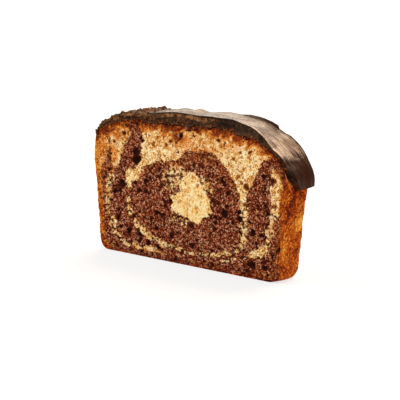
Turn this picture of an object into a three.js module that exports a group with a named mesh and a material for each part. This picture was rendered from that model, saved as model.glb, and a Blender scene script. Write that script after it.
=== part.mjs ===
// A slice of iced marble loaf cake, cut across the loaf and standing on its baked base.
// Millimetres, +Z up. X runs across the loaf and Y along it, so the cut faces look along -Y and +Y.
// The origin is the middle of the slice's footprint.
import * as THREE from 'three';
import { mergeVertices } from 'three/addons/utils/BufferGeometryUtils.js';

// ---- slice: thickness, baked corners and the outline of the sponge across the loaf ----
const THICKNESS = 16;
const LEFT_FOOT = { x: -53.2, radius: 5.5 };
const RIGHT_FOOT = { x: 51.6, radius: 6.5 };
const RIGHT_SIDE = [[51.9, 15], [51.9, 26], [52.5, 36], [53.6, 42.5]];
const RIGHT_SHOULDER = [54, 47.6];
const DOME = [
  [50.5, 51.2], [45.5, 55.6], [36.5, 60.4], [26.5, 63], [13.5, 64.1],
  [-1.5, 64.1], [-16.5, 63.3], [-31.5, 63.6], [-41.5, 62], [-51.5, 58.6],
];
const LEFT_SHOULDER = [-56.9, 54.4];
const LEFT_SIDE = [[-57.7, 49], [-57.7, 42], [-56.3, 32.5], [-55.1, 23], [-53.9, 13.6]];

// ---- crumb and crust relief ----
const CRUMB_GRAIN = { size: 4.5, depth: 0.5 };
const CRUST_GRAIN = { size: 6, depth: 0.45 };
const CRUST_FADES = [36, 41];          // heights between which the crust turns smooth, under the icing
const CRUST_SKIN = 0.12;               // share of the face over which the crust's relief dies away
const BASE_FLAT = 2.5;                 // crust relief starts this high above the base
const HOLE_DEPTH = 0.8;                // of an air hole, as a share of its radius
const FRONT_HOLES = [                  // [x, z, radius] of the large air holes in the cut face
  [-32.3, 46.5, 3.6], [-41, 32.5, 2.2], [-30, 30.5, 2], [-45.3, 28.3, 1.9], [-43, 16, 2],
  [-35.8, 10.8, 2.3], [-10.5, 12.3, 1.9], [-4, 6, 1.8], [19.5, 26.8, 2.4], [19, 41, 2],
  [21.6, 36.4, 1.6], [13, 31.8, 1.8], [0.8, 18.8, 2.2], [36.6, 6, 2.2], [43, 5.8, 1.7],
  [31.4, 41, 1.9], [46.4, 45, 1.9], [51, 15.3, 1.7], [-23.6, 6.6, 1.7], [-11.5, 28, 1.9],
];
const BACK_HOLES = { count: 20, radius: [1.6, 2.8], across: 47, height: [5, 56] };

// ---- icing: depth over the sponge and how far it hangs down each side ----
const ICING_GAP = 0.35;
const NORMAL_CHORD = 9;
const ICING_DEPTH = [                  // [mm along the dome from the right shoulder, front, back]
  [-8, 2.3, 4.4], [-2, 2.4, 4.2], [3, 3.3, 4.2], [8.5, 4.7, 5.2], [16, 4.4, 6.1], [23, 5.4, 6.5],
  [30, 6.4, 7.1], [37, 6.2, 6.8], [44, 5.5, 6.3], [55, 5.1, 5.6], [65, 5.8, 5.8], [75, 5.3, 5.4],
  [84, 3.8, 4.7], [92, 2.9, 4.2], [102, 3, 3.7], [109, 2.5, 3.1], [114, 1.5, 2.3], [120, 0.8, 1.8],
];
const RIGHT_HEM = [[-8, 0.3], [-5, 2.7], [-2, 5.4], [0, 6.3], [3, 5.9], [8, 5.5]];   // [y, mm below shoulder]
const LEFT_HEM = [[-8, 0.5], [-4, 3.4], [0, 6.4], [2, 6.3], [5, 4.6], [8, 3.4]];
const HEM_SLANT = 1.3;                 // the icing's outer face ends this much above its inner face
const HEM_REACH = 5;                   // over this last stretch
const ICING_RIPPLE = { length: 16, width: 3.4, height: 0.35, fullDepth: 4 };
const ICING_CUT = { size: 3, depth: 0.3 };

// ---- mesh steps ----
const SPONGE_STEPS = { across: 46, along: 5, up: 29 };
const ICING_STEPS = { across: 76, along: 10, up: 2 };
const OUTLINE_STEPS = 1200;
const MERGE_GAP = 1e-5;

const SEED = { frontCrumb: 1, backCrumb: 2, crust: 3, backHoles: 4, ripple: 5, icingFront: 6, icingBack: 7 };

const spongeMaterial = new THREE.MeshStandardMaterial({ color: 0xc98f4f, roughness: 0.9, metalness: 0 });
const icingMaterial = new THREE.MeshStandardMaterial({ color: 0x3b2820, roughness: 0.35, metalness: 0 });

// ---- seeded value noise, -1 to 1 ----
const MIXERS = [374761393, 668265263, 1442695041, 1274126177];   // large odd numbers that scatter the bits
const HALF_RANGE = 2 ** 31;

function hash(ix, iy, iz, seed) {
  let bits = [ix, iy, iz, seed].reduce((mixed, value, i) => mixed ^ Math.imul(value, MIXERS[i]), 0);
  bits = Math.imul(bits ^ (bits >>> 15), MIXERS[1]);
  bits = Math.imul(bits ^ (bits >>> 13), MIXERS[3]);
  return ((bits ^ (bits >>> 16)) >>> 0) / HALF_RANGE - 1;
}

function noise(x, y, z, seed) {
  const [ix, iy, iz] = [x, y, z].map(Math.floor);
  const [fx, fy, fz] = [x - ix, y - iy, z - iz].map((f) => f * f * (3 - 2 * f));
  const { lerp } = THREE.MathUtils;
  const row = (dy, dz) => lerp(hash(ix, iy + dy, iz + dz, seed), hash(ix + 1, iy + dy, iz + dz, seed), fx);
  return lerp(lerp(row(0, 0), row(1, 0), fy), lerp(row(0, 1), row(1, 1), fy), fz);
}

// ---- the sponge's outline, anticlockwise from the middle of the right foot's corner ----
function spongeOutline() {
  const path = new THREE.Path();
  const eighth = Math.PI / 4;
  const right = [RIGHT_FOOT.x - RIGHT_FOOT.radius, RIGHT_FOOT.radius, RIGHT_FOOT.radius];
  const left = [LEFT_FOOT.x + LEFT_FOOT.radius, LEFT_FOOT.radius, LEFT_FOOT.radius];
  const skin = [...RIGHT_SIDE, RIGHT_SHOULDER, ...DOME, LEFT_SHOULDER, ...LEFT_SIDE, [LEFT_FOOT.x, left[1]]];
  path.absarc(...right, -eighth, 0);
  path.splineThru(skin.map((point) => new THREE.Vector2(...point)));
  path.absarc(...left, 4 * eighth, 5 * eighth);
  path.absarc(...left, 5 * eighth, 6 * eighth);
  path.lineTo(right[0], 0);
  path.absarc(...right, 6 * eighth, 7 * eighth);
  path.arcLengthDivisions = OUTLINE_STEPS;
  return path;
}

// Length along the outline at its point nearest to a corner of the sponge.
function lengthAt(path, corner) {
  const total = path.getLength();
  const target = new THREE.Vector2(...corner);
  let best = { gap: Infinity, at: 0 };
  path.getSpacedPoints(OUTLINE_STEPS).forEach((point, i) => {
    const gap = point.distanceTo(target);
    if (gap < best.gap) best = { gap, at: (total * i) / OUTLINE_STEPS };
  });
  return best.at;
}

const outline = spongeOutline();
const perimeter = outline.getLength();
const leftToe = LEFT_FOOT.radius * (1 - Math.SQRT1_2);
const corners = {
  rightShoulder: lengthAt(outline, RIGHT_SHOULDER),
  leftShoulder: lengthAt(outline, LEFT_SHOULDER),
  leftFoot: lengthAt(outline, [LEFT_FOOT.x + leftToe, leftToe]),
};

function outlineAt(length) {
  return outline.getPointAt(THREE.MathUtils.clamp(length / perimeter, 0, 1));
}

// Outward direction, averaged over a short chord so that the icing fans out evenly round a shoulder.
function outwardAt(length) {
  const chord = outlineAt(length + NORMAL_CHORD / 2).sub(outlineAt(length - NORMAL_CHORD / 2));
  return new THREE.Vector2(chord.y, -chord.x).normalize();
}

// Point of the sponge's cross-section: u from left to right, v from base to dome, both 0 to 1.
function section(u, v) {
  const { lerp } = THREE.MathUtils;
  const base = outlineAt(lerp(corners.leftFoot, perimeter, u));
  const dome = outlineAt(lerp(corners.leftShoulder, corners.rightShoulder, u));
  const left = outlineAt(lerp(corners.leftFoot, corners.leftShoulder, v));
  const right = outlineAt(lerp(0, corners.rightShoulder, v));
  const between = (a, b, t) => new THREE.Vector2().lerpVectors(a, b, t);
  const foot = between(outlineAt(corners.leftFoot), outlineAt(0), u);
  const shoulder = between(outlineAt(corners.leftShoulder), outlineAt(corners.rightShoulder), u);
  return between(base, dome, v).add(between(left, right, u)).sub(between(foot, shoulder, v));
}

// A box's closed skin of even steps, with each vertex moved by place(u, w, v), all 0 to 1.
function shapedBox(steps, place) {
  const box = new THREE.BoxGeometry(1, 1, 1, steps.across, steps.along, steps.up);
  box.deleteAttribute('normal');
  box.deleteAttribute('uv');
  const geometry = mergeVertices(box, MERGE_GAP);
  const vertices = geometry.attributes.position;
  for (let i = 0; i < vertices.count; i += 1) {
    const [u, w, v] = [vertices.getX(i), vertices.getY(i), vertices.getZ(i)].map((t) => t + 0.5);
    vertices.setXYZ(i, ...place(u, w, v));
  }
  geometry.computeVertexNormals();
  return geometry;
}

// Large air holes that the second, unseen cut goes through, spread by a seeded rule.
function backHoles() {
  const pick = (i, part, [low, high]) => (
    THREE.MathUtils.mapLinear(hash(i, part, 0, SEED.backHoles), -1, 1, low, high)
  );
  return Array.from({ length: BACK_HOLES.count }, (_, i) => [
    pick(i, 1, [-BACK_HOLES.across, BACK_HOLES.across]),
    pick(i, 2, BACK_HOLES.height),
    pick(i, 3, BACK_HOLES.radius),
  ]);
}

function crumbDepth(x, z, holes, seed) {
  const { size, depth } = CRUMB_GRAIN;
  const grain = (1 + noise(x / size, 0, z / size, seed)) / 2;
  const deepest = holes.reduce((most, [hx, hz, radius]) => {
    const near = 1 - ((x - hx) ** 2 + (z - hz) ** 2) / radius ** 2;
    return Math.max(most, near * radius * HOLE_DEPTH);
  }, 0);
  return grain * depth + deepest;
}

// How far the crust stands out at a point of the outline: nothing on the base or under the icing.
function crustRelief(x, y, z) {
  const { smoothstep } = THREE.MathUtils;
  const { size, depth } = CRUST_GRAIN;
  const bare = smoothstep(z, 0, BASE_FLAT) * (1 - smoothstep(z, ...CRUST_FADES));
  return bare * depth * noise(x / size, y / size, z / size, SEED.crust);
}

function makeSponge() {
  const back = backHoles();
  const place = (u, w, v) => {
    const { x: across, y: z } = section(u, v);
    const y = (w - 0.5) * THICKNESS;
    const toSide = Math.min(u, 1 - u);
    const nearSide = 1 - THREE.MathUtils.smoothstep(toSide, 0, CRUST_SKIN);
    const x = across + Math.sign(u - 0.5) * nearSide * crustRelief(across, y, z);
    const inside = Math.min(toSide * SPONGE_STEPS.across, v * SPONGE_STEPS.up, (1 - v) * SPONGE_STEPS.up, 1);
    if (w === 0) return [x, y + inside * crumbDepth(x, z, FRONT_HOLES, SEED.frontCrumb), z];
    if (w === 1) return [x, y - inside * crumbDepth(x, z, back, SEED.backCrumb), z];
    return [x, y, z];
  };
  return new THREE.Mesh(shapedBox(SPONGE_STEPS, place), spongeMaterial);
}

// Value between listed stations [at, value, ...], read at one place.
function along(stations, at, column) {
  const next = stations.findIndex((station) => at < station[0]);
  if (next === 0) return stations[0][column];
  if (next < 0) return stations[stations.length - 1][column];
  const [from, to] = [stations[next - 1], stations[next]];
  return THREE.MathUtils.mapLinear(at, from[0], to[0], from[column], to[column]);
}

// How deep a cut face of the icing lies behind the knife's plane.
function icingCutDepth(x, z, seed) {
  const { size, depth } = ICING_CUT;
  return (depth * (1 + noise(x / size, 0, z / size, seed))) / 2;
}

function makeIcing() {
  const { lerp, smoothstep } = THREE.MathUtils;
  const dome = corners.leftShoulder - corners.rightShoulder;
  const place = (u, w, v) => {
    const y = (w - 0.5) * THICKNESS;
    const rightEnd = -along(RIGHT_HEM, y, 1);
    const leftEnd = dome + along(LEFT_HEM, y, 1);
    const inner = lerp(leftEnd, rightEnd, u);
    const nearRight = 1 - smoothstep(inner - rightEnd, 0, HEM_REACH);
    const nearLeft = 1 - smoothstep(leftEnd - inner, 0, HEM_REACH);
    const length = inner + v * HEM_SLANT * (nearRight - nearLeft);
    const depth = lerp(along(ICING_DEPTH, length, 1), along(ICING_DEPTH, length, 2), w);
    const wave = noise(length / ICING_RIPPLE.length, y / ICING_RIPPLE.width, 0, SEED.ripple);
    const ripple = ICING_RIPPLE.height * wave * Math.min(depth / ICING_RIPPLE.fullDepth, 1);
    const at = corners.rightShoulder + length;
    const { x, y: z } = outlineAt(at).addScaledVector(outwardAt(at), ICING_GAP + v * (depth + ripple));
    if (w === 0) return [x, y + icingCutDepth(x, z, SEED.icingFront), z];
    if (w === 1) return [x, y - icingCutDepth(x, z, SEED.icingBack), z];
    return [x, y, z];
  };
  return new THREE.Mesh(shapedBox(ICING_STEPS, place), icingMaterial);
}

const sponge = makeSponge();
sponge.name = 'sponge';

const icing = makeIcing();
icing.name = 'icing';

const slice = new THREE.Group();
slice.add(sponge, icing);
const middle = new THREE.Box3().setFromObject(slice).getCenter(new THREE.Vector3());
slice.position.set(-middle.x, -middle.y, 0);

export default slice;
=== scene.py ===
"""A slice of iced marble loaf cake: marbled, torn crumb with its crust, chocolate icing, loose crumbs.

Shapes are worked out in millimetres in the slice's section frame: x runs across the loaf, y along it
and z up from the baked base. Meshes are turned to metres in the row frame when they are written.
"""

import logging
import math
from collections.abc import Iterator, Sequence
from dataclasses import dataclass
from enum import IntEnum
from typing import Any

import bpy
import numpy as np
from mathutils import Matrix, Vector


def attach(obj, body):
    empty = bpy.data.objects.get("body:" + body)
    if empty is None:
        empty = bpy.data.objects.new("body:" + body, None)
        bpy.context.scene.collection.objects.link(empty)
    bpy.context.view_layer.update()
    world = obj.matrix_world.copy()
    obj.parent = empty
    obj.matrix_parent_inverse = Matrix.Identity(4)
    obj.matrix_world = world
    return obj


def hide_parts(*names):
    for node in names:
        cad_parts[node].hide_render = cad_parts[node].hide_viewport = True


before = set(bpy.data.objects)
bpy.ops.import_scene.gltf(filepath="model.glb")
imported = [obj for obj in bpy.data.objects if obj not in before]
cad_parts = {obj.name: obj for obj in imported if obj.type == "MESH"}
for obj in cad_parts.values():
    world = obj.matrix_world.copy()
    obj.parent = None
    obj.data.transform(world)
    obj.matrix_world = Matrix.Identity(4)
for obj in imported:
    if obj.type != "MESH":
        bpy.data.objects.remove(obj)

Array = np.ndarray
Range = tuple[float, float]
Points = tuple[tuple[float, ...], ...]
Shades = tuple[tuple[float, str], ...]

LOG = logging.getLogger("marble_loaf_cake_slice")
MM = 0.001
RECENTRE = 0.449  # mm that the row frame's middle lies to the left of the section frame's
THICKNESS = 16.0  # mm between the two knife cuts
ON_FACE = 1e-5


class Seed(IntEnum):
    """Starting numbers of the seeded patterns, one for each use."""

    GRAIN = 11
    PORES = 12
    BACK_PORES = 13
    BACK_HOLES = 14
    CRUST = 15
    EDGE = 16
    DRIFT = 17
    BAKE = 18
    TONE = 19
    RIPPLE = 21
    CUT = 22
    CRUMBS = 23
    CLODS = 24
    LOOSE = 25


# ---- curves and seeded patterns ----


def smoothstep(value: Array, none: float, full: float) -> Array:
    """Goes smoothly from 0 to 1, upwards or downwards.

    Args:
        value: Where to read the curve.
        none: Value at which the curve leaves 0.
        full: Value at which the curve reaches 1, above or below the other.

    Returns:
        The curve's height at each value.
    """
    share = np.clip((value - none) / (full - none), 0.0, 1.0)
    return share * share * (3.0 - 2.0 * share)


def profile(at: Array, points: Points) -> Array:
    """Height of the line through points (place, height), at each place."""
    return np.interp(at, *np.array(points, float).T)


def patch(a: Array, b: Array, spot: tuple[float, ...]) -> Array:
    """A soft round patch.

    Args:
        a: Places along the first axis.
        b: Places along the second axis.
        spot: The patch's middle on both axes, its reach on both axes and its height.

    Returns:
        The patch's height at each place.
    """
    middle_a, middle_b, reach_a, reach_b, height = spot
    return height * np.exp(-(((a - middle_a) / reach_a) ** 2) - ((b - middle_b) / reach_b) ** 2)


def scatter(ix: Array, iy: Array, iz: Array, seed: int) -> Array:
    """Even pseudo-random numbers at whole-numbered places.

    Args:
        ix: Whole x places.
        iy: Whole y places.
        iz: Whole z places.
        seed: Which pattern to read.

    Returns:
        Numbers from 0 to 1, the same on each run.
    """
    low_bits = 0xFFFFFFFF
    first, second, third, fourth = 374761393, 668265263, 1274126177, 1442695041
    whole = [np.asarray(part).astype(np.int64) for part in (ix, iy, iz)]
    mixed = whole[0] * first ^ whole[1] * second ^ whole[2] * third ^ int(seed) * fourth
    mixed = (mixed & low_bits).astype(np.uint64)
    mixed = ((mixed ^ (mixed >> np.uint64(15))) * np.uint64(second)) & np.uint64(low_bits)
    mixed = ((mixed ^ (mixed >> np.uint64(13))) * np.uint64(third)) & np.uint64(low_bits)
    return (mixed ^ (mixed >> np.uint64(16))).astype(float) / 2.0**32


def noise(at: Sequence[Array], seed: int) -> Array:
    """Smooth noise with one bump for each unit of length.

    Args:
        at: Places along x, along y and along z.
        seed: Which pattern to read.

    Returns:
        Values from -1 to 1.
    """
    places = np.asarray(at, float)
    whole = np.floor(places)
    blend = (places - whole) ** 2 * (3.0 - 2.0 * (places - whole))
    total = np.zeros(places.shape[1:])
    for corner in range(8):
        step = [corner & 1, (corner >> 1) & 1, (corner >> 2) & 1]
        share = np.ones(places.shape[1:])
        for axis in range(3):
            share = share * (blend[axis] if step[axis] else 1.0 - blend[axis])
        total += share * scatter(*(whole[axis] + step[axis] for axis in range(3)), seed)
    return total * 2.0 - 1.0


def fractal(at: Sequence[Array], size: float, octaves: int, seed: int) -> Array:
    """Noise with finer noise laid over it.

    Args:
        at: Places along x, along y and along z, in millimetres.
        size: Length of the largest bumps in millimetres.
        octaves: How many layers, each half the size and height of the one before.
        seed: Which pattern to read.

    Returns:
        Values from about -1 to 1.
    """
    spread = 1.3  # the layers seldom peak together
    places = np.asarray(at, float)
    total, height, reach = np.zeros(places.shape[1:]), 1.0, 0.0
    for octave in range(octaves):
        total = total + height * noise(places * (2.0**octave / size), seed + 101 * octave)
        reach += height
        height *= 0.5
    return total / reach * spread


@dataclass(frozen=True)
class Grain:
    """Unevenness of one kind: mm long, octaves, how high, and which pattern it reads."""

    size: float
    octaves: int
    height: float
    seed: int

    def at(self, places: Sequence[Array]) -> Array:
        """Height at places (x, y, z) in millimetres."""
        return self.height * fractal(places, self.size, self.octaves, self.seed)


def between(value: Array, spans: tuple[Range, Range]) -> Array:
    """Goes smoothly from 0 to 1 over the first range (none, full), and back over the second (none, full)."""
    return smoothstep(value, *spans[0]) * smoothstep(value, *spans[1])


def near_cells(x: Array, z: Array, cell: float, seed: int) -> Iterator[tuple[Array, Array, list[Array]]]:
    """Goes through the nine cells of a grid that lie round each place.

    Args:
        x: Places along x in millimetres.
        z: Places along z in millimetres.
        cell: Width of a cell in millimetres.
        seed: Which pattern to read.

    Yields:
        How far each place is from the cell's own point along x and z, and three numbers of the cell.
    """
    column, row = np.floor(x / cell), np.floor(z / cell)
    for step in range(9):
        ix, iz = column + (step // 3 - 1), row + (step % 3 - 1)
        pick = [scatter(ix, np.full_like(ix, part), iz, seed) for part in range(5)]
        yield x - (ix + pick[0]) * cell, z - (iz + pick[1]) * cell, pick[2:]


@dataclass(frozen=True)
class PoreLayer:
    """Air bubbles of one size range that a cut goes through, one at most in each cell of a grid."""

    cell: float
    radius: Range
    share: float
    depth: float = 0.8
    squash: Range = (0.75, 0.6)  # least, and how much more at most

    def depths(self, x: Array, z: Array, seed: int) -> Array:
        """Depth of the bubbles below the cut.

        Args:
            x: Places along x in millimetres.
            z: Places along z in millimetres.
            seed: Which pattern to read.

        Returns:
            Depth in millimetres at each place, 0 outside the bubbles.
        """
        deepest = np.zeros(np.shape(x))
        least, greatest = self.radius
        for away_x, away_z, (grown, present, flat) in near_cells(x, z, self.cell, seed):
            radius = least + (greatest - least) * grown**2
            squash = self.squash[0] + self.squash[1] * flat
            near = 1.0 - ((away_x * squash) ** 2 + (away_z / squash) ** 2) / radius**2
            bubble = np.where(present < self.share, near * radius * self.depth, 0.0)
            deepest = np.maximum(deepest, bubble)
        return deepest


@dataclass(frozen=True)
class Foam:
    """Packed bubbles that a cut has opened: hollows of mixed depth between thin walls."""

    cell: float
    depth: float
    rarity: float = 1.5
    wall: float = 0.5  # share of a cell over which a wall slopes down

    def depths(self, x: Array, z: Array, seed: int) -> Array:
        """Depth of the hollows below the tops of their walls.

        Args:
            x: Places along x in millimetres.
            z: Places along z in millimetres.
            seed: Which pattern to read.

        Returns:
            Depth in millimetres at each place.
        """
        nearest, second = np.full(np.shape(x), np.inf), np.full(np.shape(x), np.inf)
        deep = np.zeros(np.shape(x))
        for away_x, away_z, (lot, _, _) in near_cells(x, z, self.cell, seed):
            away = np.hypot(away_x, away_z)
            closer = away < nearest
            second = np.where(closer, nearest, np.minimum(second, away))
            deep = np.where(closer, lot, deep)
            nearest = np.where(closer, away, nearest)
        return self.depth * smoothstep(second - nearest, 0.0, self.wall * self.cell) * deep**self.rarity


# ---- plane shapes ----


def edge_distance(x: Array, z: Array, points: Points | Array, closed: bool) -> tuple[Array, Array]:
    """Distance to the nearest stretch of a line through points.

    Args:
        x: Places along x.
        z: Places along z.
        points: The line's points, each (x, z) and then any further values.
        closed: Whether the last point joins the first.

    Returns:
        The distance, and the line's further values at its nearest place, one row for each.
    """
    line = np.asarray(points, float)
    nearest, values = np.full(np.shape(x), np.inf), np.zeros((line.shape[1] - 2, *np.shape(x)))
    for start in range(len(line) if closed else len(line) - 1):
        end = (start + 1) % len(line)
        run = line[end] - line[start]
        across, up = x - line[start, 0], z - line[start, 1]
        share = (across * run[0] + up * run[1]) / max(run[:2] @ run[:2], 1e-12)
        share = np.clip(share, 0.0, 1.0)
        distance = np.hypot(across - share * run[0], up - share * run[1])
        closer = distance < nearest
        nearest = np.where(closer, distance, nearest)
        here = line[start, 2:, None] + share * run[2:, None]
        values = np.where(closer, here, values)
    return nearest, values


def inside(x: Array, z: Array, polygon: Points) -> Array:
    """Whether each place lies inside a closed polygon.

    Args:
        x: Places along x.
        z: Places along z.
        polygon: The corners, each (x, z).

    Returns:
        True where the place is inside.
    """
    corners = np.asarray(polygon, float)
    within = np.zeros(np.shape(x), bool)
    for start in range(len(corners)):
        (ax, az), (bx, bz) = corners[start], corners[(start + 1) % len(corners)]
        if az == bz:
            continue
        crosses = (z < az) != (z < bz)
        within ^= crosses & (x < ax + (z - az) / (bz - az) * (bx - ax))
    return within


class Outline:
    """The sponge's outline across the loaf, anticlockwise from the middle of the right foot's corner."""

    LEFT_FOOT = (-53.2, 5.5)  # x of the side, and radius of the baked corner
    RIGHT_FOOT = (51.6, 6.5)
    RIGHT_SIDE = ((51.9, 15.0), (51.9, 26.0), (52.5, 36.0), (53.6, 42.5))
    RIGHT_SHOULDER = (54.0, 47.6)
    DOME = (
        (50.5, 51.2), (45.5, 55.6), (36.5, 60.4), (26.5, 63.0), (13.5, 64.1),
        (-1.5, 64.1), (-16.5, 63.3), (-31.5, 63.6), (-41.5, 62.0), (-51.5, 58.6),
    )
    LEFT_SHOULDER = (-56.9, 54.4)
    LEFT_SIDE = ((-57.7, 49.0), (-57.7, 42.0), (-56.3, 32.5), (-55.1, 23.0), (-53.9, 13.6))
    SPAN_STEPS = 40
    ARC_STEPS = 20

    def __init__(self) -> None:
        """Joins the corners and the curve over the dome, and measures along them."""
        right_x, right_radius = self.RIGHT_FOOT
        left_x, left_radius = self.LEFT_FOOT
        right = (right_x - right_radius, right_radius, right_radius)
        left = (left_x + left_radius, left_radius, left_radius)
        skin = (
            (right_x, right_radius), *self.RIGHT_SIDE, self.RIGHT_SHOULDER, *self.DOME,
            self.LEFT_SHOULDER, *self.LEFT_SIDE, (left_x, left_radius),
        )
        curve = self._curve(skin)
        parts = [self._arc(right, -45, 0), curve[1:], self._arc(left, 180, 225)[1:]]
        parts += [self._arc(left, 225, 270)[1:], self._arc(right, 270, 315)]
        self.points = np.concatenate(parts)
        runs = np.hypot(*np.diff(self.points, axis=0).T)
        self.lengths = np.concatenate([[0.0], np.cumsum(runs)])
        self.perimeter = float(self.lengths[-1])
        shoulder_steps = self.ARC_STEPS + self.SPAN_STEPS * (1 + len(self.RIGHT_SIDE))
        dome_steps = self.SPAN_STEPS * (len(self.DOME) + 1)
        self.right_shoulder = float(self.lengths[shoulder_steps])
        self.left_shoulder = float(self.lengths[shoulder_steps + dome_steps])
        self.left_foot = float(self.lengths[self.ARC_STEPS * 2 + len(curve) - 1])

    def _arc(self, circle: tuple[float, float, float], start: float, end: float) -> Array:
        """Points along an arc of a circle (x, z, radius), between two angles in degrees."""
        angles = np.radians(np.linspace(start, end, self.ARC_STEPS + 1))
        return np.stack([circle[0] + circle[2] * np.cos(angles), circle[1] + circle[2] * np.sin(angles)], 1)

    def _curve(self, through: Points) -> Array:
        """Smooth curve through points.

        Args:
            through: The points, each (x, z).

        Returns:
            Evenly stepped points from the first to the last.
        """
        knots = np.asarray(through, float)
        curve = []
        for i in range(len(knots) - 1):
            before, start = knots[max(i - 1, 0)], knots[i]
            end, after = knots[i + 1], knots[min(i + 2, len(knots) - 1)]
            leave, arrive = (end - before) / 2, (after - start) / 2
            for t in np.arange(self.SPAN_STEPS) / self.SPAN_STEPS:
                cubic = (2 * start - 2 * end + leave + arrive) * t**3
                square = (-3 * start + 3 * end - 2 * leave - arrive) * t**2
                curve.append(cubic + square + leave * t + start)
        curve.append(knots[-1])
        return np.array(curve)

    def at(self, length: Array | float) -> Array:
        """Points (x, z) that lie a length along the outline."""
        columns = [np.interp(length, self.lengths, self.points[:, axis]) for axis in (0, 1)]
        return np.stack(columns, -1)

    def outward(self, length: Array, chord: float) -> Array:
        """Outward direction at a length along the outline.

        Args:
            length: Where, in millimetres.
            chord: Millimetres over which the direction is averaged.

        Returns:
            Directions (x, z) of length 1.
        """
        run = self.at(length + chord / 2) - self.at(length - chord / 2)
        turned = np.stack([run[..., 1], -run[..., 0]], -1)
        return turned / np.linalg.norm(turned, axis=-1, keepdims=True)

    def section(self, u: Array, v: Array) -> Array:
        """Points of the cross-section.

        Args:
            u: Share of the way from left to right.
            v: Share of the way from the base to the dome.

        Returns:
            Points (x, z).
        """
        def mix(a: Array | float, b: Array | float, share: Array) -> Array:
            """Value a share of the way from a to b."""
            return a + (b - a) * share

        across, upward = u[:, None], v[:, None]
        base = self.at(mix(self.left_foot, self.perimeter, u))
        dome = self.at(mix(self.left_shoulder, self.right_shoulder, u))
        left = self.at(mix(self.left_foot, self.left_shoulder, v))
        right = self.at(mix(0.0, self.right_shoulder, v))
        foot = mix(self.at(self.left_foot), self.at(0.0), across)
        shoulder = mix(self.at(self.left_shoulder), self.at(self.right_shoulder), across)
        return mix(base, dome, upward) + mix(left, right, across) - mix(foot, shoulder, upward)

    def distance(self, x: Array, z: Array) -> Array:
        """Distance from each place to the outline."""
        coarse = self.points[:: self.ARC_STEPS // 2]
        return edge_distance(x, z, coarse, closed=True)[0]


# ---- meshes ----


@dataclass(frozen=True)
class Steps:
    """How many cells a box has along each axis, as a pair of factors for two rounds of subdividing."""

    across: tuple[int, int]
    along: tuple[int, int]
    up: tuple[int, int]


def even_box(name: str, steps: Steps) -> bpy.types.Object:
    """A unit cube, divided evenly into square-cornered cells.

    Args:
        name: The new object's name.
        steps: Cells along x, y and z.

    Returns:
        The box, with all its vertices between 0 and 1.
    """
    bpy.ops.object.select_all(action="DESELECT")
    bpy.ops.mesh.primitive_cube_add(size=1.0, location=(0.5, 0.5, 0.5))
    box = bpy.context.object
    box.name = box.data.name = name
    bpy.ops.object.transform_apply(location=True, rotation=True, scale=True)
    bpy.context.tool_settings.mesh_select_mode = (False, True, False)
    for axis, rounds in enumerate((steps.across, steps.along, steps.up)):
        for cells in rounds:
            if cells > 1:
                select_edges_along(box.data, axis)
                bpy.ops.object.mode_set(mode="EDIT")
                bpy.ops.mesh.subdivide(number_cuts=cells - 1)
                bpy.ops.object.mode_set(mode="OBJECT")
    return box


def select_edges_along(mesh: bpy.types.Mesh, axis: int) -> None:
    """Selects the edges that run along one axis, and nothing else.

    Args:
        mesh: The mesh, in object mode.
        axis: The axis, 0 to 2.
    """
    places = read_places(mesh)
    ends = np.empty(len(mesh.edges) * 2, np.int32)
    mesh.edges.foreach_get("vertices", ends)
    ends = ends.reshape(-1, 2)
    runs = np.abs(places[ends[:, 0]] - places[ends[:, 1]])
    chosen = runs.argmax(1) == axis
    held = np.zeros(len(mesh.vertices), bool)
    held[ends[chosen].ravel()] = True
    mesh.polygons.foreach_set("select", np.zeros(len(mesh.polygons), bool))
    mesh.vertices.foreach_set("select", held)
    mesh.edges.foreach_set("select", chosen)


def read_places(mesh: bpy.types.Mesh) -> Array:
    """Reads where a mesh's vertices lie.

    Args:
        mesh: The mesh.

    Returns:
        The places, as rows of (x, y, z).
    """
    places = np.empty(len(mesh.vertices) * 3)
    mesh.vertices.foreach_get("co", places)
    return places.reshape(-1, 3)


def write_places(mesh: bpy.types.Mesh, x: Array, y: Array, z: Array) -> None:
    """Moves the mesh's vertices to places in the section frame.

    Args:
        mesh: The mesh.
        x: Places across the slice, in millimetres.
        y: Places along the loaf.
        z: Places above the base.
    """
    places = np.stack([x + RECENTRE, y, z], 1) * MM
    mesh.vertices.foreach_set("co", places.astype(np.float32).ravel())
    mesh.update()


def write_shares(mesh: bpy.types.Mesh, shares: dict[str, Array]) -> None:
    """Keeps numbers at the vertices, for the materials to read.

    Args:
        mesh: The mesh.
        shares: A number for each vertex, under each name.
    """
    for name, values in shares.items():
        attribute = mesh.attributes.new(name, "FLOAT", "POINT")
        attribute.data.foreach_set("value", np.asarray(values, np.float32))


def finish_piece(piece: bpy.types.Object, material: bpy.types.Material) -> None:
    """Gives a finished piece its material, smooth shading and body.

    Args:
        piece: The mesh object, at rest in the row frame.
        material: Its finish.
    """
    bpy.ops.object.select_all(action="DESELECT")
    piece.select_set(True)
    bpy.context.view_layer.objects.active = piece
    bpy.ops.object.shade_smooth()
    piece.data.materials.clear()
    piece.data.materials.append(material)
    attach(piece, "root")


# ---- finishes ----


def linear(shade: str) -> tuple[float, float, float, float]:
    """Turns an sRGB colour to the linear colour that Blender's sockets take.

    Args:
        shade: The colour, such as "#C08040".

    Returns:
        Red, green, blue and alpha.
    """
    parts = [int(shade[i : i + 2], 16) / 255.0 for i in (1, 3, 5)]
    red, green, blue = (p / 12.92 if p <= 0.04045 else ((p + 0.055) / 1.055) ** 2.4 for p in parts)
    return red, green, blue, 1.0


@dataclass(frozen=True)
class Sum:
    """A number made of others: each times its weight, plus an offset, and then eased if it has limits."""

    name: str
    weights: tuple[tuple[str, float], ...]
    offset: float = 0.0
    ease: tuple[float, ...] = ()  # the sums that give none and full, and what full is


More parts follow.
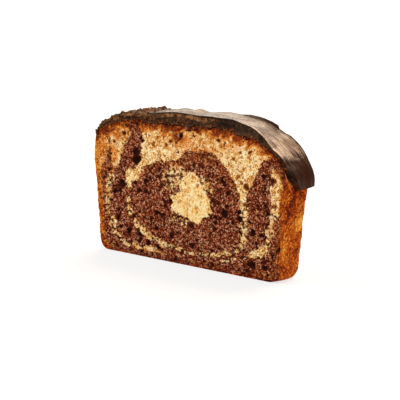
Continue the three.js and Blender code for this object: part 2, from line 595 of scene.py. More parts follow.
class Wiring:
    """A material's nodes. What each node gives is kept under a name, for later nodes to take."""

    def __init__(self, name: str) -> None:
        """Starts a material with nothing but its shader.

        Args:
            name: The material's name.
        """
        self.material = bpy.data.materials.new(name)
        self.material.use_nodes = True
        self.tree = self.material.node_tree
        self.shader = self.tree.nodes["Principled BSDF"]
        self.given: dict[str, bpy.types.NodeSocket] = {}

    def fill(self, node: bpy.types.Node, inputs: dict[int | str, Any]) -> None:
        """Links or sets some of a node's sockets.

        Args:
            node: The node.
            inputs: What each socket takes: a named result, an sRGB colour or a value.
        """
        for key, value in inputs.items():
            if isinstance(value, str) and value in self.given:
                self.tree.links.new(self.given[value], node.inputs[key])
            else:
                node.inputs[key].default_value = linear(value) if isinstance(value, str) else value

    def add(
        self,
        name: str,
        kind: str,
        inputs: dict[int | str, Any] | None = None,
        ramp: Shades = (),
        read: int | str = 0,
        **settings: Any,
    ) -> None:
        """Adds a node, and keeps its result under a name and all it gives under "name.output".

        Args:
            name: The result's name.
            kind: The node's type without "ShaderNode", such as "Math".
            inputs: What each socket takes: a named result, an sRGB colour or a value.
            ramp: A colour ramp's stops, each a place from 0 to 1 and an sRGB colour.
            read: Which output is the result.
            **settings: The node's own properties.
        """
        node = self.tree.nodes.new("ShaderNode" + kind)
        for key, value in settings.items():
            setattr(node, key, value)
        self.fill(node, inputs or {})
        if ramp:
            stops = node.color_ramp.elements
            while len(stops) < len(ramp):
                stops.new(0.5)
            for stop, (place, shade) in zip(stops, ramp):
                stop.position = place
                stop.color = linear(shade)
        self.given |= {f"{name}.{socket.name}": socket for socket in node.outputs}
        self.given[name] = node.outputs[read]

    def read_mesh(self, *shares: str) -> None:
        """Makes the mesh's places, in metres, and its shares ready to use.

        Args:
            *shares: Names of the shares that the mesh holds at its vertices.
        """
        self.add("place", "TexCoord", read="Object")
        for share in shares:
            self.add(share, "Attribute", read="Fac", attribute_name=share)

    def work_out(self, *sums: Sum) -> None:
        """Adds the nodes that work out some sums, one after the other.

        Args:
            *sums: The sums, which may take the results of those before them.
        """
        for each in sums:
            total: float | str = each.offset
            for part, weight in each.weights:
                self.add(each.name, "Math", {0: part, 1: weight, 2: total}, operation="MULTIPLY_ADD")
                total = each.name
            if each.ease:
                none, full, most = each.ease
                ends = sorted([(none, 0.0), (full, most)])
                inputs = {0: each.name, 1: ends[0][0], 2: ends[1][0], 3: ends[0][1], 4: ends[1][1]}
                self.add(each.name, "MapRange", inputs, interpolation_type="SMOOTHSTEP")

    def colour(self, ramps: tuple[tuple[str, str, Shades], ...], layers: tuple[tuple[str, ...], ...]) -> None:
        """Turns numbers to colours, and lays the colours over each other.

        Args:
            ramps: For each ramp, its result's name, the number that it reads and its stops.
            layers: For each layer, its result's name, its share, what lies under it and over it, and how.
        """
        for name, number, shades in ramps:
            self.add(name, "ValToRGB", {0: number}, shades)
        for name, share, under, over, way in layers:
            inputs = {0: share, 6: under, 7: over}
            self.add(name, "Mix", inputs, read=2, data_type="RGBA", blend_type=way)


@dataclass(frozen=True)
class MarbledCrumb:
    """Baked butter sponge, half of it coloured with cocoa, cut and left open-pored.

    Crumb is a dry foam: fully matt, and speckled by the shadows in its pores. The crust is the same
    foam baked hard and caramelised, so it is smoother, darker and very slightly waxy.
    """

    pale_shades: Shades = (
        (0.0, "#924A0C"), (0.18, "#CA8028"), (0.38, "#F0B65A"), (0.60, "#FFDA8C"), (0.95, "#FFF4C8"),
    )
    cocoa_shades: Shades = (
        (0.02, "#140301"), (0.22, "#4C1208"), (0.47, "#983616"), (0.74, "#CA6232"), (1.0, "#FAC096"),
    )
    toffee_shades: Shades = (
        (0.05, "#2A0804"), (0.28, "#7C2A10"), (0.52, "#B24C1C"), (0.80, "#D07636"), (1.0, "#ECAC6C"),
    )
    crust_shades: Shades = (
        (0.0, "#32120A"), (0.26, "#84280E"), (0.50, "#C04A0E"), (0.74, "#E27C1A"), (1.0, "#FAB44A"),
    )
    # Colours of the painted shade in the pores of the pale and the cocoa crumb, from shallow to deep.
    pale_pore_shade: Shades = ((0.0, "#D48E3C"), (0.34, "#B0682A"), (0.62, "#7A3E16"), (0.90, "#3C1806"))
    cocoa_pore_shade: Shades = ((0.0, "#70301A"), (0.40, "#4E1E10"), (0.75, "#38140A"), (1.0, "#2A0E06"))
    pale_bake: str = "#E49A44"  # these two multiply the pale crumb's colour
    deep_bake: str = "#8C4230"
    cocoa_bake: str = "#7E2C0E"
    deep_grain: str = "#240A04"
    # Name, mm and octaves of each pattern.
    noises: tuple[tuple[str, float, float], ...] = (
        ("grain", 1.5, 3.0), ("fleck", 0.6, 2.0), ("patch", 3.4, 3.0), ("mottle", 6.0, 3.0),
        ("wall", 1.9, 1.0),
    )
    noise_roughness: float = 0.6
    cells: tuple[tuple[str, float], ...] = (  # name, mm
        ("clod", 0.8), ("clump", 1.2), ("pore", 2.0), ("pinhole", 1.05),
    )
    # Light and dark of the crumb's grain: partly its own colour, partly painted light. The torn walls between
    # the pores are thin ridges, raised in the bump and lighter as a painted highlight, that wander over the
    # cut: where that noise is nearest its middle. The glint is a painted highlight on the brightest clods,
    # and each clod darkens towards its border as painted shade.
    wall_middle: Sum = Sum("wall", (("wall", 1.0),), -0.5)
    grain_sums: tuple[Sum, ...] = (
        Sum("glint", (("clod", 1.0),), ease=(0.74, 0.92, 1.0)),
        Sum("texture", (
            ("fleck", 3.2), ("wall", -1.6), ("clod", 0.26), ("glint", 0.40), ("clod_away", -0.46),
            ("grain", 1.3),
        ), -1.57),
        Sum("soft", (("texture", 1.0), ("patch", 2.0)), -1.5),
        Sum("dense", (("texture", 1.0), ("patch", 0.55), ("mottle", 0.35)), -0.45),
    )
    pale_contrast: Range = (0.62, 1.15)  # of the pale crumb: close, and open-pored
    pale_level: float = 0.61
    # The two batters meet in a ragged edge: clumps of crumb fall on one side or the other, and the
    # cocoa side is stained toffee brown for a grain or so. Where they are only half mixed, what stays
    # cocoa lies in deep dark grains.
    batter_sums: tuple[Sum, ...] = (
        Sum("ragged", (("cream", 1.0), ("clump", 0.62), ("grain", 1.2)), -0.91),
        Sum("is_pale", (("ragged", 1.0),), ease=(0.40, 0.60, 1.0)),
        Sum("edge_stain", (("ragged", 1.0),), ease=(0.16, 0.52, 1.0)),
        Sum("stained", (("edge_stain", 0.63), ("stain", 0.9))),
        Sum("bled", (("stain", 0.9),)),
        Sum("half_mixed", (("cream", 1.0), ("stain", -0.5)), ease=(0.30, 0.52, 0.62)),
    )
    # Golden to brown crumb near the skin. The crust goes from caramel to burnt, in soft clouds with
    # finer freckles.
    bake_sums: tuple[Sum, ...] = (
        Sum("baking", (("bake", 1.0), ("grain", 1.0), ("clump", 0.3), ("open", 0.10)), -0.65),
        Sum("golden", (("baking", 1.0),), ease=(0.0, 0.60, 0.95)),
        Sum("deep", (("baking", 1.0),), ease=(0.50, 1.0, 0.95)),
        Sum("warmed", (("baking", 0.50),)),
        Sum("baked", (("crust", 2.0), ("grain", 1.5), ("clump", 0.5)), -1.5, (0.25, 0.75, 1.0)),
        Sum("cloud", (("tone", 1.0), ("mottle", 0.6), ("patch", 0.95), ("texture", 0.55)), -1.02),
    )
    # Pores smaller than the mesh can carry: specks of painted shade in some of the cells, coarse and fine,
    # joined to the pores' painted shade.
    pore_sums: tuple[tuple[Sum, ...], ...] = tuple(
        (
            Sum("edge", ((away, 1.0), ("fleck", 1.2)), -0.60, (0.32, 0.12, 1.0)),
            Sum("kept", ((lot, 1.0), ("open", 0.41), ("is_pale", -0.29)), -0.24, (0.30, 0.80, 1.0)),
        )
        for away, lot in (("pore_away", "pore.Red"), ("pinhole_away", "pinhole.Green"))
    )
    # The painted shade in the pores: how deep each place is painted, and how much of the shade colour it
    # takes. The pore shade also sinks the bump. Light soaks into the pale crumb, which fills its shadows: its
    # relief shows less.
    pore_shade_and_relief_sums: tuple[Sum, ...] = (
        Sum("depth", (("pore_shade", 1.0), ("grain", 1.4)), -0.86),
        Sum("opened", (("pore_shade", 1.0),), ease=(0.05, 0.45, 1.0)),
        Sum("height", (("pore_shade", -0.7), ("texture", 1.0))),
        Sum("firm", (("is_pale", -0.75),), 1.0),
    )
    relief_mm: float = 0.5
    crust_relief: float = 0.8  # how much of the relief shows on the crust
    roughness: float = 0.92
    specular: float = 0.06

    def material(self) -> bpy.types.Material:
        """Builds the material.

        Returns:
            The material, which reads the sponge's cream, stain, pore_shade, bake, crust, tone and open
            shares.
        """
        made = Wiring("marbled_butter_sponge")
        made.read_mesh("cream", "stain", "pore_shade", "bake", "crust", "tone", "open")
        for name, size, octaves in self.noises:
            inputs = {"Vector": "place", "Scale": 1.0 / (size * MM), "Detail": octaves}
            made.add(name, "TexNoise", inputs | {"Roughness": self.noise_roughness})
        for name, size in self.cells:
            made.add(name + "_away", "TexVoronoi", {"Vector": "place", "Scale": 1.0 / (size * MM)})
            made.add(name, "SeparateColor", {0: name + "_away.Color"})
        made.work_out(self.wall_middle)
        made.add("wall", "Math", {0: "wall"}, operation="ABSOLUTE")
        made.work_out(*self.grain_sums)
        made.add("contrast", "MapRange", {0: "open"} | dict(zip((3, 4), self.pale_contrast)))
        inputs = {0: "soft", 1: "contrast", 2: self.pale_level}
        made.add("soft", "Math", inputs, operation="MULTIPLY_ADD")
        made.work_out(*self.batter_sums, *self.bake_sums)
        for sums in self.pore_sums:
            made.work_out(*sums)
            # Each speck is painted shade, kept where it is darker than the pores' painted shade.
            made.add("speck_shade", "Math", {0: "edge", 1: "kept"}, operation="MULTIPLY")
            made.add("pore_shade", "Math", {0: "pore_shade", 1: "speck_shade"}, operation="MAXIMUM")
        made.work_out(*self.pore_shade_and_relief_sums)
        made.colour(
            (
                ("pale", "soft", self.pale_shades),
                ("cocoa", "dense", self.cocoa_shades),
                ("toffee", "dense", self.toffee_shades),
                # the painted shade in the pores, by how deep it is painted
                ("pale_pore_shade", "depth", self.pale_pore_shade),
                ("cocoa_pore_shade", "depth", self.cocoa_pore_shade),
                ("skin", "cloud", self.crust_shades),
            ),
            (
                ("pale", "golden", "pale", self.pale_bake, "MULTIPLY"),
                ("pale", "deep", "pale", self.deep_bake, "MULTIPLY"),
                ("pale", "bled", "pale", self.pale_bake, "MULTIPLY"),
                # the painted shade in the pores, over the pale crumb
                ("pale", "opened", "pale", "pale_pore_shade", "MIX"),
                ("cocoa", "warmed", "cocoa", self.cocoa_bake, "MIX"),
                ("cocoa", "stained", "cocoa", "toffee", "MIX"),
                ("cocoa", "half_mixed", "cocoa", self.deep_grain, "MIX"),
                # the painted shade in the pores, over the cocoa crumb
                ("cocoa", "opened", "cocoa", "cocoa_pore_shade", "MIX"),
                ("crumb", "is_pale", "cocoa", "pale", "MIX"),
                ("colour", "baked", "crumb", "skin", "MIX"),
            ),
        )
        made.add("firm", "Mix", {0: "baked", 2: "firm", 3: self.crust_relief}, data_type="FLOAT")
        made.add("bump", "Bump", {"Strength": "firm", "Distance": self.relief_mm * MM, "Height": "height"})
        made.fill(made.shader, {
            "Base Color": "colour",
            "Normal": "bump",
            "Roughness": self.roughness,
            "Specular IOR Level": self.specular,
        })
        return made.material


@dataclass(frozen=True)
class SetChocolate:
    """Dark chocolate icing, spread warm with a palette knife and set.

    The spread top has a satin shine with fine drag lines. The knife-cut face is dull and powdery, and
    greyer towards the sponge, where crumbs are pressed into it.
    """

    skin: str = "#36180A"
    cut_shades: Shades = (
        (0.0, "#A07048"), (0.22, "#744828"), (0.44, "#482812"), (0.66, "#220E05"), (0.86, "#080302"),
    )
    crumb_shade: str = "#B08A62"
    stuck_shades: Shades = (
        (0.34, "#0C0403"), (0.48, "#241008"), (0.56, "#6A3014"), (0.66, "#A8682C"), (0.80, "#D8A058"),
    )
    sheen_tint: str = "#FFD6AC"
    skin_roughness: Range = (0.05, 0.32)
    skin_gloss: Range = (0.30, 0.70)
    skin_grain: float = 0.16
    cut_roughness: float = 0.75
    smooth_to_rough: Range = (1.3, 1.85)  # of the unevenness that the knife left
    drags: tuple[tuple[str, float, float, float, float], ...] = (
        ("drag", 12.0, 0.75, 3.0, 4.0),  # name, mm along, mm across, finer upwards, octaves
        ("smear", 9.0, 2.4, 2.0, 3.0),
    )
    noises: tuple[tuple[str, float, float], ...] = (("grain", 0.7, 3.0), ("blots", 2.2, 4.0))
    noise_roughness: float = 0.65
    # From one share of the cut's height to another, what goes from one number to another: the dust
    # that lies on it, and how dark it is.
    cut_depths: Points = ((0.30, 0.65, 0.0, 1.0), (0.86, 1.0, -1.42, -0.90))
    # How dark the cut face is: along the shelf's step it is darker, a painted shadow line.
    face_sums: tuple[Sum, ...] = (
        Sum("darkness", (
            ("dark", 1.0), ("blots", 2.4), ("grain", 1.8), ("rough", -0.24), ("dusted", -0.40),
            ("shelf_shadow_line", 0.35),
        )),
        Sum("dusty", (("grain", 1.0),), ease=(0.58, 0.72, 1.0)),
        Sum("lumps", (("grain", 1.0), ("blots", 0.5)), -0.25),
        Sum("uneven", (("drag", 1.0), ("smear", 1.3), ("grain", 0.8))),
    )
    bumps: tuple[tuple[float | str, float, str], ...] = (  # strength, mm high, of what
        (0.8, 0.35, "drag"), (0.6, 0.8, "smear"), ("bumpy", 0.9, "grain"),
    )

    def material(self) -> bpy.types.Material:
        """Builds the material.

        Returns:
            The material, which reads the icing's cut, rise, rough, dust, crumb, shelf_shadow_line and sheen
            shares.
        """
        made = Wiring("set_dark_chocolate_icing")
        made.read_mesh("cut", "rise", "rough", "dust", "crumb", "shelf_shadow_line", "sheen")
        for name, long, short, finer, octaves in self.drags:
            scale = (1.0 / (long * MM), 1.0 / (short * MM), finer / (long * MM))
            made.add(name, "Mapping", {"Vector": "place", "Scale": scale})
            made.add(name, "TexNoise", {"Vector": name, "Scale": 1.0, "Detail": octaves})
        for name, size, octaves in self.noises:
            inputs = {"Vector": "place", "Scale": 1.0 / (size * MM), "Detail": octaves}
            made.add(name, "TexNoise", inputs | {"Roughness": self.noise_roughness})
        for name, ends in zip(("dusted", "dark"), self.cut_depths):
            made.add(name, "MapRange", {0: "rise"} | dict(enumerate(ends, 1)))
        made.add("dusted", "Math", {0: "dusted", 1: "dust"}, operation="MULTIPLY")
        made.work_out(*self.face_sums)
        made.add("dusty", "Math", {0: "dusty", 1: "dust"}, operation="MULTIPLY")
        # Dull: the cut face, the rough left side, and the front right hem's painted dark reflection.
        made.add("dull", "Math", {0: "cut", 1: "rough"}, operation="MAXIMUM")
        made.colour(
            (("face", "darkness", self.cut_shades), ("stuck", "lumps", self.stuck_shades)),
            (
                ("face", "dusty", "face", self.crumb_shade, "MIX"),
                ("face", "crumb", "face", "stuck", "MIX"),
                ("colour", "dull", self.skin, "face", "MIX"),
            ),
        )
        least, most = self.skin_gloss
        for name, number, ends in (
            ("streaky", "uneven", (*self.smooth_to_rough, *self.skin_roughness)),
            ("gloss", "uneven", (*self.smooth_to_rough, most, least)),
            ("bumpy", "dull", (0.0, 1.0, self.skin_grain, 1.0)),
        ):
            made.add(name, "MapRange", {0: number} | dict(enumerate(ends, 1)))
        made.add("roughness", "Mix", {0: "dull", 2: "streaky", 3: self.cut_roughness}, data_type="FLOAT")
        made.add("gloss", "Math", {0: "gloss", 1: "sheen"}, operation="MULTIPLY")
        below: dict[str, str] = {}
        for strength, high, pattern in self.bumps:
            inputs = {"Strength": strength, "Distance": high * MM, "Height": pattern}
            made.add("relief", "Bump", inputs | below)
            below = {"Normal": "relief"}
        made.fill(made.shader, {"Specular IOR Level": least, "Specular Tint": self.sheen_tint})
        made.fill(made.shader, {
            "Base Color": "colour",
            "Normal": "relief",
            "Roughness": "roughness",
            "Specular IOR Level": "gloss",
        })
        return made.material


# ---- the sponge ----


@dataclass(frozen=True)
class Batter:
    """A closed shape of one batter in the front cut."""

    edge: Points
    strength: float = 1.0
    soft: float = 0.9

    def share(self, x: Array, z: Array) -> Array:
        """How much of the shape's batter each place holds.

        Args:
            x: Places across the slice, in millimetres.
            z: Places above the base.

        Returns:
            Shares from 0 to the shape's strength.
        """
        distance = edge_distance(x, z, self.edge, closed=True)[0]
        signed = np.where(inside(x, z, self.edge), distance, -distance)
        return self.strength * smoothstep(signed, -self.soft, self.soft)


@dataclass(frozen=True)
class Streak:
    """A drawn-out streak of pale batter: points (x, z, width, how pure it is)."""

    line: Points
    soft: float = 0.7

    def share(self, x: Array, z: Array) -> Array:
        """How much pale batter each place holds, from 0 to 1."""
        distance, (width, pure) = edge_distance(x, z, self.line, closed=False)
        return pure * smoothstep(width / 2 - distance, -self.soft, self.soft)


@dataclass(frozen=True)
class Marbling:
    """How the two batters lie in the slice: pale shapes in a cocoa ground, drifting from cut to cut."""

    pale: tuple[Batter | Streak, ...] = (
        Batter((  # under the dome, round the swirl
            (-30.8, 67), (-30.8, 60), (-30, 57.5), (-28, 54.5), (-30, 51.5), (-29.5, 48),
            (-30.5, 44.5), (-33, 40.7), (-38.5, 39), (-39.5, 37.5), (-38, 34), (-35, 33.5),
            (-33.5, 35), (-30.5, 36), (-30, 37.5), (-28.8, 40.5), (-27, 42.4), (-24, 43.8),
            (-20, 45.2), (-18, 45.7), (-15.7, 46.3), (-12, 47.3), (-10, 47.6), (-8, 47.9), (-6, 49),
            (-4.5, 52), (-1, 53), (2.5, 54), (6.5, 54), (11, 53.5), (14, 52.5), (16.5, 51),
            (20.5, 47.5), (23, 45.5), (25, 41.5), (28, 37), (28.5, 34), (32, 34), (32, 37),
            (34.5, 42.5), (36, 45.5), (37.5, 48.5), (39, 51.5), (41.5, 53), (44.5, 54),
            (48.5, 54.5), (51.5, 56), (51.5, 67),
        )),
        Batter((  # left shoulder, outer lobe
            (-59.5, 57), (-55.5, 57.5), (-52.5, 56), (-50.5, 53), (-49.5, 50), (-50, 46),
            (-50.5, 43.5), (-53, 40.5), (-54, 37), (-56.5, 36), (-59.5, 40),
        )),
        Batter((  # left shoulder, inner lobe
            (-51.5, 59.5), (-46.5, 62.5), (-40.5, 62.5), (-37.5, 60), (-36.5, 57.5), (-37, 55),
            (-38, 53), (-39.3, 51.5), (-40.8, 48), (-42.2, 44), (-43.5, 41), (-46, 38.5),
            (-47, 41), (-47.5, 44), (-48, 50), (-48.5, 54), (-50, 56.5),
        )),
        Streak((  # toffee line between the two lobes
            (-52, 58, 2.2, 0.42), (-50.2, 55, 2.2, 0.42), (-49, 50, 2.0, 0.42), (-49, 45, 2.0, 0.40),
            (-49.5, 42, 1.6, 0.34),
        ), soft=0.9),
        Batter((  # the swirl's pale heart
            (-11.5, 29), (-10.5, 31), (-7.5, 32.5), (-6, 33.5), (-7, 35), (-7.5, 37), (-6, 39),
            (-5, 41), (-2.5, 42.5), (-1, 43.5), (1.5, 43.3), (3.5, 42.3), (5.2, 40.3), (7, 38),
            (8.5, 35.8), (10, 33.5), (11, 31.5), (11, 30), (12, 28.5), (12.5, 26.5),
            (10.5, 24), (8, 23), (5.5, 21), (3.5, 20), (1.5, 21), (-1, 21.5), (-4, 22.5),
            (-6.5, 23.5), (-10, 24), (-11, 26.5),
        )),
        Batter((  # half-mixed crumb round the heart
            (-13.5, 46), (-6.5, 45.6), (0, 44.2), (-3.5, 40.5), (-6.5, 36.5), (-9, 33),
            (-16, 33), (-17, 38), (-14.5, 42),
        ), strength=0.50, soft=1.6),
        Batter((
            (3.5, 44.5), (8, 43), (13, 39), (14, 33.5), (11, 33), (8.5, 36), (5.5, 40),
        ), strength=0.46, soft=1.2),
        Batter((
            (-11.5, 24.5), (-11.5, 20), (-7.5, 18), (-1.5, 17.5), (-0.5, 20), (-4, 22.5),
            (-6.5, 23.5),
        ), strength=0.46, soft=1.2),
        Streak((  # ring round the swirl
            (30.5, 35, 3.6, 0.8), (30.5, 31, 4.2, 0.66), (31, 26, 4.6, 0.60), (31, 20, 4.8, 0.64),
            (31, 16, 4.0, 0.62), (30, 13, 3.2, 0.64), (27, 11, 2.0, 0.60), (23.5, 9.5, 2.2, 0.64),
            (19.5, 8.5, 2.4, 0.66), (15.5, 7, 2.2, 0.62), (10.5, 6.5, 1.8, 0.52), (4.5, 6, 1.8, 0.48),
            (-0.5, 6, 1.8, 0.48), (-5.5, 7, 2.4, 0.60), (-10, 7, 2.4, 0.64), (-14, 7, 2.2, 0.58),
            (-18.5, 8.5, 2.4, 0.62), (-22, 9.5, 2.8, 0.66), (-25.5, 12, 3.4, 0.66),
            (-30, 14, 3.2, 0.64), (-33, 17, 2.8, 0.60), (-35.5, 19, 3.0, 0.62), (-36.5, 23, 3.0, 0.60),
            (-36.5, 27, 2.8, 0.58), (-36.5, 28.2, 1.0, 0.4), (-36.5, 29.8, 1.0, 0.4),
            (-36.5, 31, 3.4, 0.66), (-36.5, 35, 3.4, 0.8),
        )),
        Streak((  # outer streaks on the right
            (46.5, 49, 3.5, 0.7), (48.0, 45, 6.6, 0.95), (48.7, 41, 7.2, 1), (48.6, 37, 6.2, 1),
            (47.9, 32, 4.8, 0.80), (46, 28.5, 3.2, 0.6), (45.8, 26.5, 2.0, 0.5), (45.3, 25, 3.4, 0.66),
            (45.3, 22, 4.2, 0.70), (44.9, 18.5, 3.2, 0.64), (43.5, 15.5, 3.0, 0.6), (42, 13, 4.8, 1),
            (39, 11.5, 4.2, 1), (36, 11, 3.0, 0.75), (33.5, 9, 1.6, 0.5), (27.5, 7.5, 1.4, 0.48),
            (22.5, 6, 1.4, 0.6), (19.5, 5.5, 1, 0.5),
        )),
        Streak((  # outer streaks on the left
            (-46.5, 37, 2.6, 0.66), (-47, 35, 3.4, 0.70), (-49, 31.5, 3.8, 0.66), (-49, 26, 3.8, 0.60),
            (-49.5, 21.5, 3.0, 0.58), (-49, 19, 3.2, 0.62), (-47.5, 16.5, 2.2, 0.56),
            (-45.5, 12.5, 3.8, 0.76), (-43.5, 8.5, 2.4, 0.52), (-40.5, 6, 2.2, 0.48),
            (-36.5, 4.5, 2.2, 0.52), (-32.5, 4.5, 1.8, 0.48), (-29, 3.5, 2.2, 0.70),
            (-24, 4, 2.6, 0.9), (-19.5, 3.5, 1.6, 0.7), (-14.5, 3, 1, 0.5),
        )),
        Streak(((-1.5, 2.5, 1.2, 0.5), (8.5, 2.5, 1.6, 0.5), (18.5, 3, 1.6, 0.45))),
    )
    cocoa: tuple[Batter, ...] = (  # cocoa smears in the pale batter
        Batter(((-11, 60.5), (-10.5, 57.5), (-7, 56.8), (-5, 58.5), (-6, 60.5)), strength=0.75, soft=1.0),
        Batter(((-17, 65), (-16, 62), (-12, 61.2), (-4, 61.6), (4, 61.4), (6, 65)), strength=0.6, soft=1.2),
        Batter(((27, 64), (27, 60), (30, 59.5), (32, 63)), strength=0.6, soft=1.0),
    )
    toffee: tuple[Batter, ...] = (  # cocoa crumb that the pale batter has bled into
        Batter((
            (-14, 47.5), (-8, 46.8), (-4.5, 50.5), (-1, 53), (6.5, 54), (12, 53), (16, 51.5),
            (20.5, 47.5), (24, 43), (26, 39), (23, 39), (20, 42.5), (15, 46.5), (9, 48.5), (3, 49),
            (-2, 47.5), (-6, 44.5), (-13, 44),
        ), strength=0.85, soft=2.2),
        Batter((
            (-32, 37), (-28, 41), (-23, 45), (-16, 47.5), (-15, 45), (-22, 42), (-27, 38), (-30, 34),
        ), strength=0.5, soft=1.6),
        Batter(((-37, 62), (-32, 62), (-31, 55), (-33, 50), (-37, 54)), strength=0.4, soft=2.0),
        Batter(((-58, 38), (-54, 40), (-51, 43), (-46, 39), (-50, 34), (-57, 30)), strength=0.6, soft=2.0),
    )
    edges: tuple[Grain, ...] = tuple(Grain(2.8, 3, 1.0, Seed.EDGE + part) for part in (0, 1000))
    drift: Range = (17.0, 5.0)  # mm wide, mm that the shapes move from cut to cut

    def shares(self, at: Array) -> dict[str, Array]:
        """How the batters are mixed.

        Args:
            at: Places across the slice, along the loaf and above the base, in millimetres.

        Returns:
            Under "cream", how pale each place is, from 0, all cocoa, to 1; and under "stain", how far
            its cocoa crumb is stained toffee.
        """
        x, y, z = at
        size, far = self.drift[0], self.drift[1] * (y / THICKNESS + 0.5)
        moved = []
        for part, (places, edge) in enumerate(zip((x, z), self.edges)):
            drift = noise((x / size, np.full_like(x, part), z / size), Seed.DRIFT)
            moved.append(places + edge.at(at) + far * drift)
        cream = np.max([shape.share(*moved) for shape in self.pale], axis=0)
        for shape in self.cocoa:
            cream = cream * (1.0 - shape.share(*moved))
        stain = np.max([shape.share(*moved) for shape in self.toffee], axis=0)
        return {"cream": cream, "stain": stain}


@dataclass(frozen=True)
class Grid:
    """The sponge's vertices before the crumb is torn."""

    at: Array  # places (x, y, z) in mm, one row for each axis
    u: Array  # share of the way from left to right
    v: Array  # share of the way from the base to the dome
    rim: Array  # mm to the outline
    front: Array  # whether on the front cut
    back: Array  # whether on the back cut


@dataclass(frozen=True)
class Baking:
    """How the oven and the icing have coloured the slice.

    Each Range holds the places between which something goes from none to full.
    """

    left: Range = (0.085, 0.030)  # share of the way across
    right: Range = (0.915, 0.955)
    icing: Range = (40.0, 55.0)  # mm up
    foot: Range = (9.0, 3.0)  # mm up
    pale_right: tuple[Range, Range] = ((20.0, 27.0), (48.0, 43.0))  # mm up, from and to
    reach: float = 2.0  # mm that the browning reaches into the cuts
    more_reach: tuple[float, ...] = (3.0, 2.8, -2.7, 3.0, 1.5)  # at the left, right, pale right, icing, foot
    clouds: Grain = Grain(5.0, 4, 1.0, Seed.BAKE)
    stray: float = 1.6  # mm that the browning strays with the clouds
    torn: Grain = Grain(3.2, 3, 3.0, Seed.BAKE + 4)  # mm that it strays just under the icing
    browning: Range = (1.20, 0.10)  # in reaches from the skin
    paler_left: float = 0.40
    patches: Points = (  # (x, z, reach x, reach z, share) of golden crumb
        (-30, 61, 6, 4, 0.4), (-8, 58, 9, 3.5, 0.6), (10, 56, 12, 3.5, 0.24), (29, 58, 7, 3.5, 0.30),
        (-53, 47, 4.5, 12, 0.38), (-44, 57, 8, 4.5, 0.45), (3, 54, 10, 1.8, 0.36), (-46, 46, 3, 8, 0.34),
        (16, 57, 20, 5, 0.18), (-55, 30, 3, 16, 0.5),
    )
    patch_cloud: float = 0.8
    patch_most: float = 0.75
    crust: tuple[float, float] = (0.1, 2.4)  # mm deep: everywhere, and more at the left
    crust_fade: tuple[float, ...] = (0.6, 1.0, 0.8)  # mm: everywhere, and more at the left and right
    crust_stray: float = 0.9  # mm
    thin_left: float = 0.38
    soaked_top: Range = (48.0, 54.0)  # mm up, where the crumb has drawn in the icing
    soaked: Range = (1.0, 0.1)  # mm below the icing
    soaked_ragged: Grain = Grain(2.0, 3, 2.2, Seed.BAKE + 9)
    soaked_less: tuple[float, Range] = (0.7, (28.0, 36.0))  # mm less deep, from x to x
    skin_depth: float = 0.05  # mm in which a cut is skin all the same
    tone: float = 0.48
    tone_clouds: Grain = Grain(9.0, 3, 0.16, Seed.TONE)
    foot_tone: tuple[float, Range, float] = (-0.36, (3.0, 0.0), 0.3)  # change, mm in, share on the sides
    top_tone: tuple[float, float, Range] = (-0.42, 0.14, (5.0, -15.0))  # change, less from x to x
    top_heights: Range = (47.0, 54.0)
    left_tone: tuple[float, ...] = (0.06, 0.08, 0.16)  # low down, in the middle, higher up
    left_heights: tuple[Range, Range] = ((10.0, 30.0), (34.0, 42.0))
    right_tone: float = 0.04
    side_tones: Points = (  # (y, z, reach y, reach z, change) on the right side
        (-2, 41, 6, 5, -0.2), (-2.5, 35, 3.2, 5, -0.3), (-4.5, 29, 2.2, 4.5, -0.28),
        (6.5, 26, 2.6, 6, 0.4), (-7.5, 8, 2, 6, -0.05), (-5.2, 16, 2.4, 5, 0.32), (1.5, 13, 3, 6, -0.12),
        (-3, 24, 3, 4, 0.05), (5.5, 38, 3.5, 6, -0.16), (5.5, 7, 3, 5, 0.12),
    )
    side: Range = (0.6, 0.9)  # share of the way across

    def shares(self, grid: Grid) -> dict[str, Array]:
        """The numbers that the finish reads at each vertex.

        Args:
            grid: The sponge's vertices.

        Returns:
            Shares from 0 to 1 under "bake", "crust" and "tone".
        """
        x, y, z = grid.at
        cut = grid.front | grid.back
        wander = self.clouds.at(grid.at)
        left, right = smoothstep(grid.u, *self.left), smoothstep(grid.u, *self.right)
        icing, foot = smoothstep(z, *self.icing), smoothstep(z, *self.foot)
        pale = right * between(z, self.pale_right)
        where = (left, right, pale, icing * (1.0 - left), foot)
        reach = self.reach + sum(more * share for more, share in zip(self.more_reach, where))
        inward = grid.rim + self.stray * wander + icing * self.torn.at(grid.at)
        bake = smoothstep(inward / reach, *self.browning) * (1.0 - self.paler_left * left * (1.0 - icing))
        for spot in self.patches:
            golden = patch(x, z, spot) * (1.0 + self.patch_cloud * wander)
            bake = np.maximum(bake, np.clip(golden, 0.0, self.patch_most))

        depth = grid.rim + self.crust_stray * wander - self.crust[0] - self.crust[1] * left
        fade = self.crust_fade[0] + self.crust_fade[1] * left + self.crust_fade[2] * right
        crust = smoothstep(depth / fade, 1.0, 0.0) * (1.0 - self.thin_left * left)
        less, span = self.soaked_less
        soaked = grid.rim + self.soaked_ragged.at(grid.at) + less * smoothstep(x, *span)
        top = smoothstep(z, *self.soaked_top)
        crust = crust + (smoothstep(soaked, *self.soaked) - crust) * top
        crust = np.where(cut, np.maximum(crust, grid.rim < self.skin_depth), 1.0)

        tone = self.tone + self.tone_clouds.at(grid.at)
        change, span, aside = self.foot_tone
        tone = tone + change * foot * smoothstep(grid.rim, *span) * np.where(cut, 1.0, aside)
        change, less, span = self.top_tone
        tone = tone + (change + less * smoothstep(x, *span)) * smoothstep(z, *self.top_heights)
        golden = self.left_tone[0]
        for more, heights in zip(self.left_tone[1:], self.left_heights):
            golden = golden + more * smoothstep(z, *heights)
        tone = tone + np.where(cut, golden * left + self.right_tone * right, 0.0) * (1.0 - top)
        for spot in self.side_tones:
            tone = tone + patch(y, z, spot) * smoothstep(grid.u, *self.side)
        return {"bake": bake, "crust": crust, "tone": np.clip(tone, 0.0, 1.0)}


